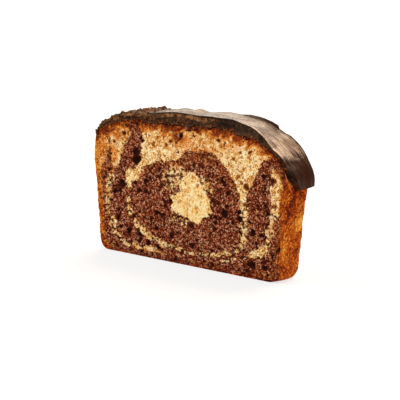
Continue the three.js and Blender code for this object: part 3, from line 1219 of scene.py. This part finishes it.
@dataclass
class Sponge:
    """The slice of sponge: two open-pored cuts between the baked sides, and a flat base.

    Each Range holds the places between which something goes from none to full, unless it says otherwise.
    """

    outline: Outline
    steps: Steps = Steps((10, 25), (4, 5), (12, 12))
    marbling: Marbling = Marbling()
    baking: Baking = Baking()
    finish: MarbledCrumb = MarbledCrumb()
    pores: tuple[tuple[Foam | PoreLayer, float], ...] = (  # each with how dark the painted shade in its hollows is
        (Foam(1.3, 0.75), 0.6),
        (Foam(2.3, 1.1, 3.5), 0.8),
        (PoreLayer(5.0, (0.7, 1.5), 0.40, 0.8), 1.0),
    )
    front_holes: Points = (  # (x, z, radius) of the largest bubbles
        (-33, 48.8, 2.5), (-32.2, 45, 3.0), (-29.8, 46.6, 1.2), (-28.2, 46.4, 0.8), (-41, 32.5, 2.2),
        (-30, 30.5, 2), (-45.3, 28.3, 1.9), (-43, 16, 2),
        (-35.8, 10.8, 2.3), (-10.5, 12.3, 1.9), (-4, 6, 1.8), (19.5, 26.8, 2.4), (19, 41, 2),
        (21.6, 36.4, 1.6), (13, 31.8, 1.8), (0.8, 18.8, 2.2), (36.6, 6, 2.2), (43, 5.8, 1.7),
        (31.4, 41, 1.9), (46.4, 45, 1.9), (51, 15.3, 1.7), (-23.6, 6.6, 1.7), (-11.5, 28, 1.9),
    )
    back_hole_count: int = 20
    back_hole_spans: tuple[Range, ...] = ((-47.0, 47.0), (5.0, 56.0), (1.6, 2.8))  # mm: x, z, radius
    hole_depth: float = 0.55
    hole_wander: tuple[Grain, ...] = tuple(Grain(2.0, 3, 0.9, Seed.GRAIN + part) for part in (7, 8))
    pore_shade_depths: Range = (0.16, 0.85)  # mm deep, over which the painted pore shade goes from none to full
    crumb: Grain = Grain(2.2, 3, 0.30, Seed.GRAIN)
    calm_cream: float = 0.3  # how much flatter the pale crumb is
    cut_edge: tuple[float, float] = (0.9, 0.12)  # mm in which the relief dies away, and what stays
    torn_top: float = 0.28  # mm that the cuts fall back just under the icing
    torn_height: Range = (46.0, 54.0)
    torn_rim: Range = (3.0, 0.5)
    warm_stain: float = 0.8  # toffee stain beside the crust
    warm_rim: Range = (9.0, 1.0)  # mm in
    warm_sides: tuple[Range, Range] = ((0.84, 0.90), (0.12, 0.06))  # share of the way across
    warm_height: Range = (33.0, 24.0)  # mm up
    close_heart: tuple[float, float] = (2.0, 29.0)  # (x, z) of the swirl's heart, where the crumb is close
    heart_reach: Range = (8.0, 15.0)  # how much painted shade its pores get
    heart_pore_shade: float = 0.35  # how hollow its pores look
    side_width: float = 0.03  # share of the way across in which the skin is moved
    bare_skin: tuple[Range, Range] = ((0.3, 3.0), (46.0, 40.0))  # mm up, from and to
    crust: tuple[Grain, ...] = (Grain(5.0, 4, 0.30, Seed.CRUST), Grain(1.6, 2, 0.28, Seed.CRUST + 9))
    crust_pocks: PoreLayer = PoreLayer(3.4, (0.5, 1.1), 0.5, 0.3)
    right_bulge: tuple[Points, Points] = (  # (z, mm outwards) at the back and at the front
        (
            (0, 1.5), (0.5, 0.7), (1.2, -0.1), (2, -0.3), (3, -0.5), (6, -0.9), (10, -0.8), (15, -0.6),
            (22, 0.1), (30, 0.5), (36, 0.7), (42, 0.9), (46, 0.4), (50, 0),
        ),
        ((0, 0.7), (2, 0.9), (5, 0.2), (8, 0), (50, 0)),
    )
    bulge_span: Range = (0.86, 1.0)  # share of the way across
    foot_swell: tuple[float, Range] = (1.6, (3.5, 0.5))  # mm out at mid-depth; mm up
    dome_lift: Points = ((-8, 0), (8, 1.3), (29, 1.3), (36.5, 2), (46, 2.1), (50.5, 1.5), (54, 0))  # (x, mm)
    dome_span: Range = (0.75, 1.0)  # share of the way up

    def build(self) -> bpy.types.Object:
        """Makes the sponge's mesh and dresses it.

        Returns:
            The finished piece.
        """
        piece = even_box("marbled_sponge", self.steps)
        u, w, v = read_places(piece.data).T
        x, z = self.outline.section(u, v).T
        at = np.stack([x, (w - 0.5) * THICKNESS, z])
        grid = Grid(at, u, v, self.outline.distance(x, z), w < ON_FACE, w > 1 - ON_FACE)
        shares = self.marbling.shares(at) | self.baking.shares(grid)
        beside = np.max([smoothstep(u, *side) for side in self.warm_sides], axis=0)
        beside = beside * smoothstep(grid.rim, *self.warm_rim) * smoothstep(z, *self.warm_height)
        shares["stain"] = np.maximum(shares["stain"], self.warm_stain * beside)
        relief, pore_shade_amount = self._cut_relief(grid)
        heart = np.hypot(x - self.close_heart[0], z - self.close_heart[1])
        shares["open"] = smoothstep(heart, *self.heart_reach)
        # The pores get painted shade in their colour, and less of it in the swirl's close heart.
        seen = self.heart_pore_shade + (1.0 - self.heart_pore_shade) * shares["open"]
        shares["pore_shade"] = np.where(grid.front | grid.back, pore_shade_amount * seen, 0.0)
        relief = relief * (1.0 - self.calm_cream * shares["cream"])
        relief = relief * np.clip(grid.rim / self.cut_edge[0], self.cut_edge[1], 1.0)
        torn = smoothstep(z, *self.torn_height) * smoothstep(grid.rim, *self.torn_rim)
        relief = relief + self.torn_top * torn
        inward = np.where(grid.front, relief, np.where(grid.back, -relief, 0.0))
        across, up = self._skin_relief(grid)
        write_places(piece.data, x + across, at[1] + inward, z + up)
        write_shares(piece.data, shares)
        finish_piece(piece, self.finish.material())
        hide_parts("sponge")
        return piece

    def _back_holes(self) -> Points:
        """The largest bubbles of the back cut.

        Returns:
            Their places and sizes (x, z, radius) in millimetres.
        """
        count = np.arange(self.back_hole_count)
        pick = [scatter(count, np.full_like(count, part), 0, Seed.BACK_HOLES) for part in range(3)]
        holes = [low + (high - low) * share for (low, high), share in zip(self.back_hole_spans, pick)]
        return tuple(zip(*holes))

    def _cut_relief(self, grid: Grid) -> tuple[Array, Array]:
        """How far the cut crumb lies behind the knife's plane.

        Args:
            grid: The sponge's vertices.

        Returns:
            The depth in millimetres, and how hollow the place is from 0 to 1.
        """
        wx, wz = (place + stray.at(grid.at) for place, stray in zip(grid.at[::2], self.hole_wander))
        bubbles, pore_shade_amount = np.zeros_like(wx), np.zeros_like(wx)
        faces = (grid.front, Seed.PORES, self.front_holes), (grid.back, Seed.BACK_PORES, self._back_holes())
        for face, seed, holes in faces:
            # How deep each place lies, and how much painted shade it gets.
            depth, dark = np.zeros_like(wx), np.zeros_like(wx)
            for number, (layer, shade) in enumerate(self.pores):
                opened = layer.depths(wx, wz, seed + 40 * number)
                depth, dark = np.maximum(depth, opened), np.maximum(dark, opened * shade)
            for hole_x, hole_z, radius in holes:
                near = 1.0 - ((wx - hole_x) ** 2 + (wz - hole_z) ** 2) / radius**2
                opened = near * radius * self.hole_depth
                depth, dark = np.maximum(depth, opened), np.maximum(dark, opened)
            bubbles, pore_shade_amount = np.where(face, depth, bubbles), np.where(face, dark, pore_shade_amount)
        relief = self.crumb.height / 2 + self.crumb.at(grid.at) + bubbles
        return relief, smoothstep(pore_shade_amount, *self.pore_shade_depths)

    def _skin_relief(self, grid: Grid) -> tuple[Array, Array]:
        """How far the baked skin is moved from the plain outline.

        Args:
            grid: The sponge's vertices.

        Returns:
            Moves along x and z in millimetres.
        """
        x, y, z = grid.at
        skin = np.clip(1.0 - np.minimum(grid.u, 1 - grid.u) / self.side_width, 0.0, 1.0)
        bumps = sum(kind.at(grid.at) for kind in self.crust) - self.crust_pocks.depths(y, z, Seed.CRUST + 5)
        depth = y / THICKNESS + 0.5
        back, front = (profile(z, line) for line in self.right_bulge)
        most, span = self.foot_swell
        swell = front + (back - front) * depth + most * 4.0 * depth * (1.0 - depth) * smoothstep(z, *span)
        swell = swell * smoothstep(grid.u, *self.bulge_span)
        lift = profile(x, self.dome_lift) * smoothstep(grid.v, *self.dome_span)
        return np.sign(grid.u - 0.5) * skin * between(z, self.bare_skin) * bumps + swell, lift


# ---- the icing ----


@dataclass
class Icing:
    """The coat of icing over the dome, hanging a little down both sides.

    Millimetres along the dome count from the right shoulder. Each Range holds the places between which
    something goes from none to full.
    """

    outline: Outline
    steps: Steps = Steps((16, 20), (6, 6), (2, 5))
    finish: SetChocolate = SetChocolate()
    gap: float = 0.35
    chord: float = 9.0
    depths: Points = (  # (mm along the dome from the right, front, back)
        (-8, 2.4, 3.9), (-4, 2.8, 3.6), (-2, 2.6, 3.2), (0, 2.1, 3.0), (1.5, 2.1, 3.2), (3.4, 2.5, 3.8),
        (6, 2.9, 4.6), (9, 3.0, 5.0), (12, 2.9, 5.4), (14.5, 2.8, 5.7), (17, 3.3, 5.9), (20, 4.3, 5.3),
        (24, 5.4, 5.6), (27.5, 5.9, 5.9), (31, 5.8, 6.0), (37, 6.2, 5.9), (43, 5.6, 6.0), (50, 5.4, 6.0),
        (56, 5.1, 5.2), (60, 5.2, 4.6), (62.6, 5.3, 5.1), (65.5, 5.55, 5.9), (69, 5.75, 5.1),
        (72.5, 5.7, 5.3), (76.5, 5.3, 5.5), (79, 4.9, 4.5), (82, 4.25, 4.4), (84, 3.8, 3.8),
        (88.3, 3.45, 4.0), (91, 3.2, 3.4), (97, 3.7, 3.2), (101.5, 3.45, 2.7), (107, 2.8, 3.4),
        (110, 2.5, 3.6), (114, 1.7, 2.8), (120, 0.8, 1.9),
    )
    right_hem: Points = ((-8, 0.3), (-5, 2.7), (-2, 5.4), (0, 6.3), (3, 5.9), (8, 5.5))  # (y, mm down)
    left_hem: Points = ((-8, 0.5), (-4, 3.4), (0, 6.4), (2, 6.3), (5, 4.6), (8, 3.4))
    hem_slant: float = 1.3
    hem_reach: Range = (5.0, 0.0)  # mm from a hem
    crowded: float = 0.75  # how far the cells crowd towards the two cuts
    ripples: Points = ((22.0, 5.5, 0.26), (11.0, 5.5 / 2.3, 0.13))  # mm along, mm across, mm high
    ripple_depth: float = 4.0  # mm of icing that the full ripples need
    inner_lift: Points = ((1, 0), (5, 1.5), (11, 2.1), (22, 2.0), (30, 1.3), (51, 1.3), (67, 0))  # (mm, mm)
    ragged: Grain = Grain(2.4, 3, 1.7, Seed.CLODS)  # of the inner edge
    ragged_middle: float = 0.34  # mm
    ragged_span: Range = (24.0, 34.0)  # mm along
    ragged_least: float = 0.3
    shelf: float = 0.50  # share of the height below which the cut falls
    shelf_fall: tuple[float, Range] = (0.30, (0.08, -0.08))  # mm, and over what share of the height
    shelf_wander: Grain = Grain(9.0, 3, 0.35, Seed.CUT + 5)
    cut_grain: Grain = Grain(1.3, 3, 0.42, Seed.CUT)
    cut_proud: float = -0.063  # mm that a grain stands out at most
    flat_foot: Range = (0.0, 1.2)  # mm above the inner edge
    rough_span: Range = (40.0, 30.0)  # mm before the left shoulder
    rough_most: float = 0.8
    crumbly: Grain = Grain(1.5, 2, 0.9, Seed.CRUMBS)  # of the left side's lumps
    crumbly_middle: float = 0.09  # mm
    painted_dark_corner: tuple[Range, Range] = ((6.0, 1.5), (-3.2, -5.8))  # mm along and y of the front right hem, where a dark reflection is painted on
    painted_dark_most: float = 0.85
    stuck: Range = (2.2, 0.3)  # mm of the cut's foot that holds cake crumb
    stuck_ragged: Grain = Grain(2.6, 3, 1.6, Seed.CLODS + 3)
    stuck_right: tuple[float, Range] = (0.6, (22.0, 4.0))  # mm more, from mm along to mm along
    dust_span: Range = (38.0, 54.0)  # mm along
    shelf_shadow_width: float = 0.10  # share of the height of the painted shadow line under the shelf's step
    sheens: Points = (  # (mm along the dome, how much of the skin's shine)
        (-8, 0.12), (5.4, 0.14), (7.2, 1.0), (12.5, 1.0), (14.5, 0.82), (17, 0.80), (19.5, 0.32), (25, 0.16),
        (28, 0.36), (34, 0.25), (42, 0.5),
    )
    sheen_slant: float = 0.33  # mm along that the shine shifts per mm of y
    gleam: Range = (2.2, 0.8)  # mm from the front
    gleam_spans: tuple[Range, Range] = ((6.0, 12.0), (50.0, 34.0))  # mm along, from and to
    gleam_flecks: tuple[float, float, float] = (5.0, 1.5, 1.6)  # mm along, mm across, how sharp
    edge_round: float = 0.35  # mm that the front top edge is rounded
    edge_fall: float = 0.75  # how far it falls there, in roundings
    edge_wander: tuple[float, float] = (5.0, 0.25)  # mm long, mm that the front edge strays
    lip: Points = (  # (mm along the dome, mm high) of the back's thin lip
        (-8, 0), (13, 0.25), (15.5, 0.1), (23.2, 0.1), (23.8, 1.1), (38, 1.0), (43, 0.1), (68, 0),
        (74, 0.2), (77, 0), (84, 0), (88, 0.5), (92, 0.1), (106, 0), (108, 0.5),
        (109.5, 0.5), (111, 0),
    )
    lip_width: float = 0.55
    front_ridge: tuple[float, float, float] = (0.3, 1.0, 0.34)  # mm behind the cut, mm wide, mm high
    ridge_spans: tuple[Range, Range] = ((4.0, 9.0), (80.0, 60.0))  # mm along, from and to

    def build(self) -> bpy.types.Object:
        """Makes the icing's mesh and dresses it.

        Returns:
            The finished piece.
        """
        piece = even_box("chocolate_icing", self.steps)
        u, w, v = read_places(piece.data).T
        w = (1.0 - self.crowded) * w + self.crowded * (0.5 - 0.5 * np.cos(np.pi * w))
        y = (w - 0.5) * THICKNESS
        flat = np.zeros_like(y)
        cut = (w < ON_FACE) | (w > 1 - ON_FACE)
        dome = self.outline.left_shoulder - self.outline.right_shoulder
        right_end = -profile(y, self.right_hem)
        left_end = dome + profile(y, self.left_hem)
        inner = left_end + (right_end - left_end) * u
        near_right = smoothstep(inner - right_end, *self.hem_reach)
        near_left = smoothstep(left_end - inner, *self.hem_reach)
        length = inner + v * self.hem_slant * (near_right - near_left)
        stations, front, back = np.array(self.depths, float).T
        depth = np.interp(length, stations, front) * (1 - w) + np.interp(length, stations, back) * w
        rise = depth + self._edges(length, y)
        for part, (long, short, high) in enumerate(self.ripples):
            wave = noise((length / long, y / short, flat), Seed.RIPPLE + part)
            rise = rise + high * wave * np.minimum(depth / self.ripple_depth, 1.0)

        ragged = np.clip(self.ragged_middle + self.ragged.at((length, y, flat)), 0.0, self.ragged.height)
        share = self.ragged_least + (1.0 - self.ragged_least) * smoothstep(length, *self.ragged_span)
        lift = profile(length, self.inner_lift) - np.where(cut, ragged * share, 0.0)
        at = self.outline.right_shoulder + length
        out = self.gap + (1.0 - v) * lift + v * rise
        x, z = (self.outline.at(at) + self.outline.outward(at, self.chord) * out[:, None]).T

        rough = smoothstep(dome - length, *self.rough_span)
        # How far each place lies above the shelf's step: below it the cut falls back, and along it a painted
        # shadow line runs.
        shelf_shadow_line = v + self.shelf_wander.at((x, y, z)) - self.shelf
        grain = np.maximum(self.cut_grain.height / 2 + self.cut_grain.at((x, y, z)), self.cut_proud)
        inward = (1.0 + rough) * grain + self.shelf_fall[0] * smoothstep(shelf_shadow_line, *self.shelf_fall[1])
        inward = np.where(cut, inward * smoothstep(v * rise, *self.flat_foot), 0.0)
        y = y + np.where(w < 0.5, inward, -inward)
        z = z + v * rough * (self.crumbly.at((x, y, z)) - self.crumbly_middle)
        write_places(piece.data, x, y, z)

        more, span = self.stuck_right
        foot = v * rise + self.stuck_ragged.at((x, y, z)) - more * smoothstep(length, *span)
        # The front right hem takes the cut's dull, dark colour: a painted dark reflection.
        corner = smoothstep(length, *self.painted_dark_corner[0]) * smoothstep(y, *self.painted_dark_corner[1])
        write_shares(piece.data, {
            "cut": np.maximum(cut, self.painted_dark_most * corner),
            "rise": v,
            "rough": rough * self.rough_most,
            "dust": smoothstep(length, *self.dust_span),
            "crumb": smoothstep(foot, *self.stuck) * (1.0 - corner),
            # a painted shadow line along the shelf's step
            "shelf_shadow_line": np.exp(-((shelf_shadow_line / self.shelf_shadow_width) ** 2)),
            "sheen": self._sheen(length, y),
        })
        finish_piece(piece, self.finish.material())
        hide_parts("icing")
        return piece

    def _edges(self, length: Array, y: Array) -> Array:
        """How the top surface rises or falls near the knife cuts.

        Args:
            length: Millimetres along the dome.
            y: Places along the loaf, in millimetres.

        Returns:
            Change of depth in millimetres.
        """
        from_front, from_back, flat = THICKNESS / 2 + y, THICKNESS / 2 - y, np.zeros_like(y)
        long, stray = self.edge_wander
        wander = stray * noise((length / long, flat, flat), Seed.EDGE)
        round_off = np.clip(1.0 - from_front / (self.edge_round + wander), 0.0, 1.0)
        fall = self.edge_fall * (self.edge_round + wander) * (1.0 - np.sqrt(1.0 - round_off**2))
        lip = profile(length, self.lip) * np.exp(-((from_back / self.lip_width) ** 2))
        behind, wide, high = self.front_ridge
        ridge = high * np.exp(-(((from_front - behind - wander) / wide) ** 2))
        return lip + ridge * between(length, self.ridge_spans) - fall

    def _sheen(self, length: Array, y: Array) -> Array:
        """How much of the skin's full shine each place has.

        Args:
            length: Millimetres along the dome.
            y: Places along the loaf, in millimetres.

        Returns:
            Shares from 0 to 1: of the broad sheens, and of the flecks that gleam along the front edge.
        """
        long, short, sharp = self.gleam_flecks
        flecks = noise((length / long, y / short, np.zeros_like(y)), Seed.CLODS)
        gleam = smoothstep(y + THICKNESS / 2, *self.gleam) * np.clip(0.5 + sharp * flecks, 0.0, 1.0)
        gleam = gleam * between(length, self.gleam_spans)
        return np.maximum(gleam, profile(length + self.sheen_slant * y, self.sheens))


# ---- the crumbs ----


@dataclass
class LooseCrumbs:
    """Crumbs that the knife has dragged out of the cake, stuck in the icing's left side."""

    count: int = 110
    radius: Range = (0.22, 0.60)  # mm
    sunk: float = 0.25  # share of a crumb's width that it sits in the icing
    lumpy: tuple[float, float] = (0.5, 0.55)  # mm long, share of the radius high, of its lumps
    pale_share: float = 0.22
    clear: float = 0.06  # mm that a crumb stays behind the knife's plane
    look: tuple[tuple[str, float], ...] = (  # the crumb shares that all of them have
        ("stain", 0.2), ("pore_shade", 0.0), ("bake", 0.25), ("crust", 0.0), ("tone", 0.5), ("open", 1.0),
    )
    on_top: float = 0.99  # least rise of the icing's top
    on_cut: tuple[float, float, float] = (0.5, 0.2, 0.03)  # least cut and rise share, and how much rarer

    def build(self, icing: bpy.types.Object, sponge: bpy.types.Object) -> bpy.types.Object:
        """Makes the crumbs as one mesh and dresses it.

        Args:
            icing: The finished icing, on which the crumbs sit.
            sponge: The finished sponge, which they share their finish with.

        Returns:
            The finished piece.
        """
        places, outward = self._seats(icing.data)
        number = np.arange(self.count)
        pick = [scatter(number, np.full_like(number, part), 0, Seed.LOOSE) for part in range(2)]
        low, high = self.radius
        radii = low + (high - low) * pick[0] ** 2
        bpy.ops.object.select_all(action="DESELECT")
        made = []
        for place, normal, radius in zip(places, outward, radii):
            centre = place + normal * radius * MM * (1.0 - 2.0 * self.sunk)
            most = (THICKNESS / 2 - self.clear - radius) * MM
            centre[1] = np.clip(centre[1], -most, most)
            bpy.ops.mesh.primitive_ico_sphere_add(subdivisions=1, radius=radius * MM, location=centre)
            made.append(bpy.context.object)
        for crumb in made:
            crumb.select_set(True)
        bpy.context.view_layer.objects.active = made[0]
        bpy.ops.object.join()
        piece = bpy.context.object
        piece.name = piece.data.name = "loose_crumbs"
        bpy.ops.object.transform_apply(location=True, rotation=True, scale=True)
        each = len(piece.data.vertices) // self.count
        self._roughen(piece.data, np.repeat(radii, each))
        pale = np.repeat(pick[1] < self.pale_share, each)
        same = {name: np.full(len(pale), share) for name, share in self.look}
        write_shares(piece.data, {"cream": pale} | same)
        finish_piece(piece, sponge.data.materials[0])
        return piece

    def _seats(self, mesh: bpy.types.Mesh) -> tuple[Array, Array]:
        """Where crumbs sit on the icing.

        Args:
            mesh: The finished icing's mesh.

        Returns:
            Places in the row frame, and outward directions.
        """
        values = {}
        for name in ("rough", "rise", "cut", "dust"):
            values[name] = np.empty(len(mesh.vertices), np.float32)
            mesh.attributes[name].data.foreach_get("value", values[name])
        normals = np.empty(len(mesh.vertices) * 3)
        mesh.vertices.foreach_get("normal", normals)
        cut, rise, rare = self.on_cut
        on_cut = (values["cut"] > cut) & (values["rise"] > rise)
        chance = values["rough"] + rare * values["cut"] * values["dust"]
        weight = np.where(on_cut | (values["rise"] > self.on_top), chance, 0.0)
        total = np.cumsum(weight)
        number = np.arange(self.count)
        wanted = scatter(number, np.full_like(number, 9), 0, Seed.LOOSE) * total[-1]
        chosen = np.searchsorted(total, wanted)
        return read_places(mesh)[chosen], normals.reshape(-1, 3)[chosen]

    def _roughen(self, mesh: bpy.types.Mesh, radii: Array) -> None:
        """Turns round crumbs into torn ones.

        Args:
            mesh: The crumbs' mesh.
            radii: Radius in millimetres of the crumb that each vertex belongs to.
        """
        at = read_places(mesh).T / MM
        size, high = self.lumpy
        moves = [fractal(at, size, 2, Seed.LOOSE + part) * radii * high for part in range(1, 4)]
        x, y, z = at + moves
        write_places(mesh, x - RECENTRE, y, z)


# ---- the studio ----


@dataclass
class Studio:
    """White floor, soft lights and a long lens."""

    aim: tuple[float, float, float] = (0.0001, 0.0, 0.029447)
    azimuth: float = 38.0
    elevation: float = 11.11
    roll: float = 1.732
    distance: float = 1.0
    lens: float = 196.37
    sensor: float = 36.0
    clip: Range = (0.01, 50.0)
    world_light: float = 0.55
    world_shade: tuple[float, ...] = (1.0, 0.96, 0.90, 1.0)  # linear, as the lights' colours are
    softboxes: tuple[tuple[Any, ...], ...] = (  # name, place, size, watts, colour, in reflections
        ("back_softbox", (-0.21, 0.98, 1.07), (1.2, 1.24), 37.0, (1.0, 0.79, 0.57), True),
        ("back_card", (-1.0, 1.35, 0.42), (0.9, 0.76), 2.6, (1.0, 0.84, 0.66), True),
        ("key", (-0.9, -0.55, 1.25), (0.5, 0.5), 11.0, (1.0, 1.0, 1.0), True),
        ("right_fill", (1.4, -0.4, 0.7), (0.8, 0.8), 4.0, (1.0, 1.0, 1.0), False),
    )
    floor_shade: str = "#8C8C8C"
    floor_glow: float = 0.70
    floor_size: float = 12.0

    def build(self) -> None:
        """Makes the floor, the lights and the camera."""
        self._floor()
        self._world()
        self._lights()
        self._camera()
        bpy.context.scene.view_settings.view_transform = "Standard"

    def _floor(self) -> None:
        """A wide matt white floor."""
        bpy.ops.object.select_all(action="DESELECT")
        bpy.ops.mesh.primitive_plane_add(size=self.floor_size, location=(0.0, 0.0, 0.0))
        floor = bpy.context.object
        floor.name = "studio_floor"
        made = Wiring("white_studio_floor")
        made.fill(made.shader, {
            "Base Color": self.floor_shade,
            "Roughness": 1.0,
            "Specular IOR Level": 0.0,
            "Emission Color": "#FFFFFF",
            "Emission Strength": self.floor_glow,
        })
        floor.data.materials.append(made.material)

    def _world(self) -> None:
        """Even white light from all round."""
        world = bpy.data.worlds.new("studio_light")
        world.use_nodes = True
        background = world.node_tree.nodes["Background"]
        background.inputs["Color"].default_value = self.world_shade
        background.inputs["Strength"].default_value = self.world_light
        bpy.context.scene.world = world

    def _lights(self) -> None:
        """Rectangular lights that face the slice."""
        for name, place, size, watts, colour, reflected in self.softboxes:
            bpy.ops.object.light_add(type="AREA", location=place)
            lamp = bpy.context.object
            lamp.name = name
            lamp.data.shape = "RECTANGLE"
            lamp.data.size, lamp.data.size_y = size
            lamp.data.energy = watts
            lamp.data.color = colour
            lamp.visible_camera = False
            lamp.visible_glossy = reflected
            towards = Vector(self.aim) - Vector(place)
            lamp.rotation_euler = towards.to_track_quat("-Z", "Y").to_euler()

    def _camera(self) -> None:
        """The camera, slightly rolled, on the slice's right front corner."""
        bpy.ops.object.camera_add()
        camera = bpy.context.object
        turn, tilt, roll = (math.radians(part) for part in (self.azimuth, self.elevation, self.roll))
        level = Vector((math.cos(turn), math.sin(turn), 0.0))
        ahead = Vector((-math.sin(turn), math.cos(turn), -math.tan(tilt))).normalized()
        over = level.cross(ahead)
        right = math.cos(roll) * level + math.sin(roll) * over
        up = math.cos(roll) * over - math.sin(roll) * level
        pose = Matrix((right, up, -ahead)).transposed().to_4x4()
        pose.translation = Vector(self.aim) - self.distance * ahead
        camera.matrix_world = pose
        camera.data.sensor_width = self.sensor
        camera.data.lens = self.lens
        camera.data.clip_start, camera.data.clip_end = self.clip
        bpy.context.scene.camera = camera


def main() -> None:
    """Builds the slice and its studio, and reports each piece."""
    logging.basicConfig(level=logging.INFO, format="%(name)s: %(message)s")
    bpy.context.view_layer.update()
    outline = Outline()
    sponge = Sponge(outline).build()
    icing = Icing(outline).build()
    for piece in (sponge, icing, LooseCrumbs().build(icing, sponge)):
        piece.data.calc_loop_triangles()
        LOG.info("%s: %d triangles", piece.name, len(piece.data.loop_triangles))
    Studio().build()
    LOG.info("studio: floor, lights and camera")


if __name__ == "__main__":
    main()
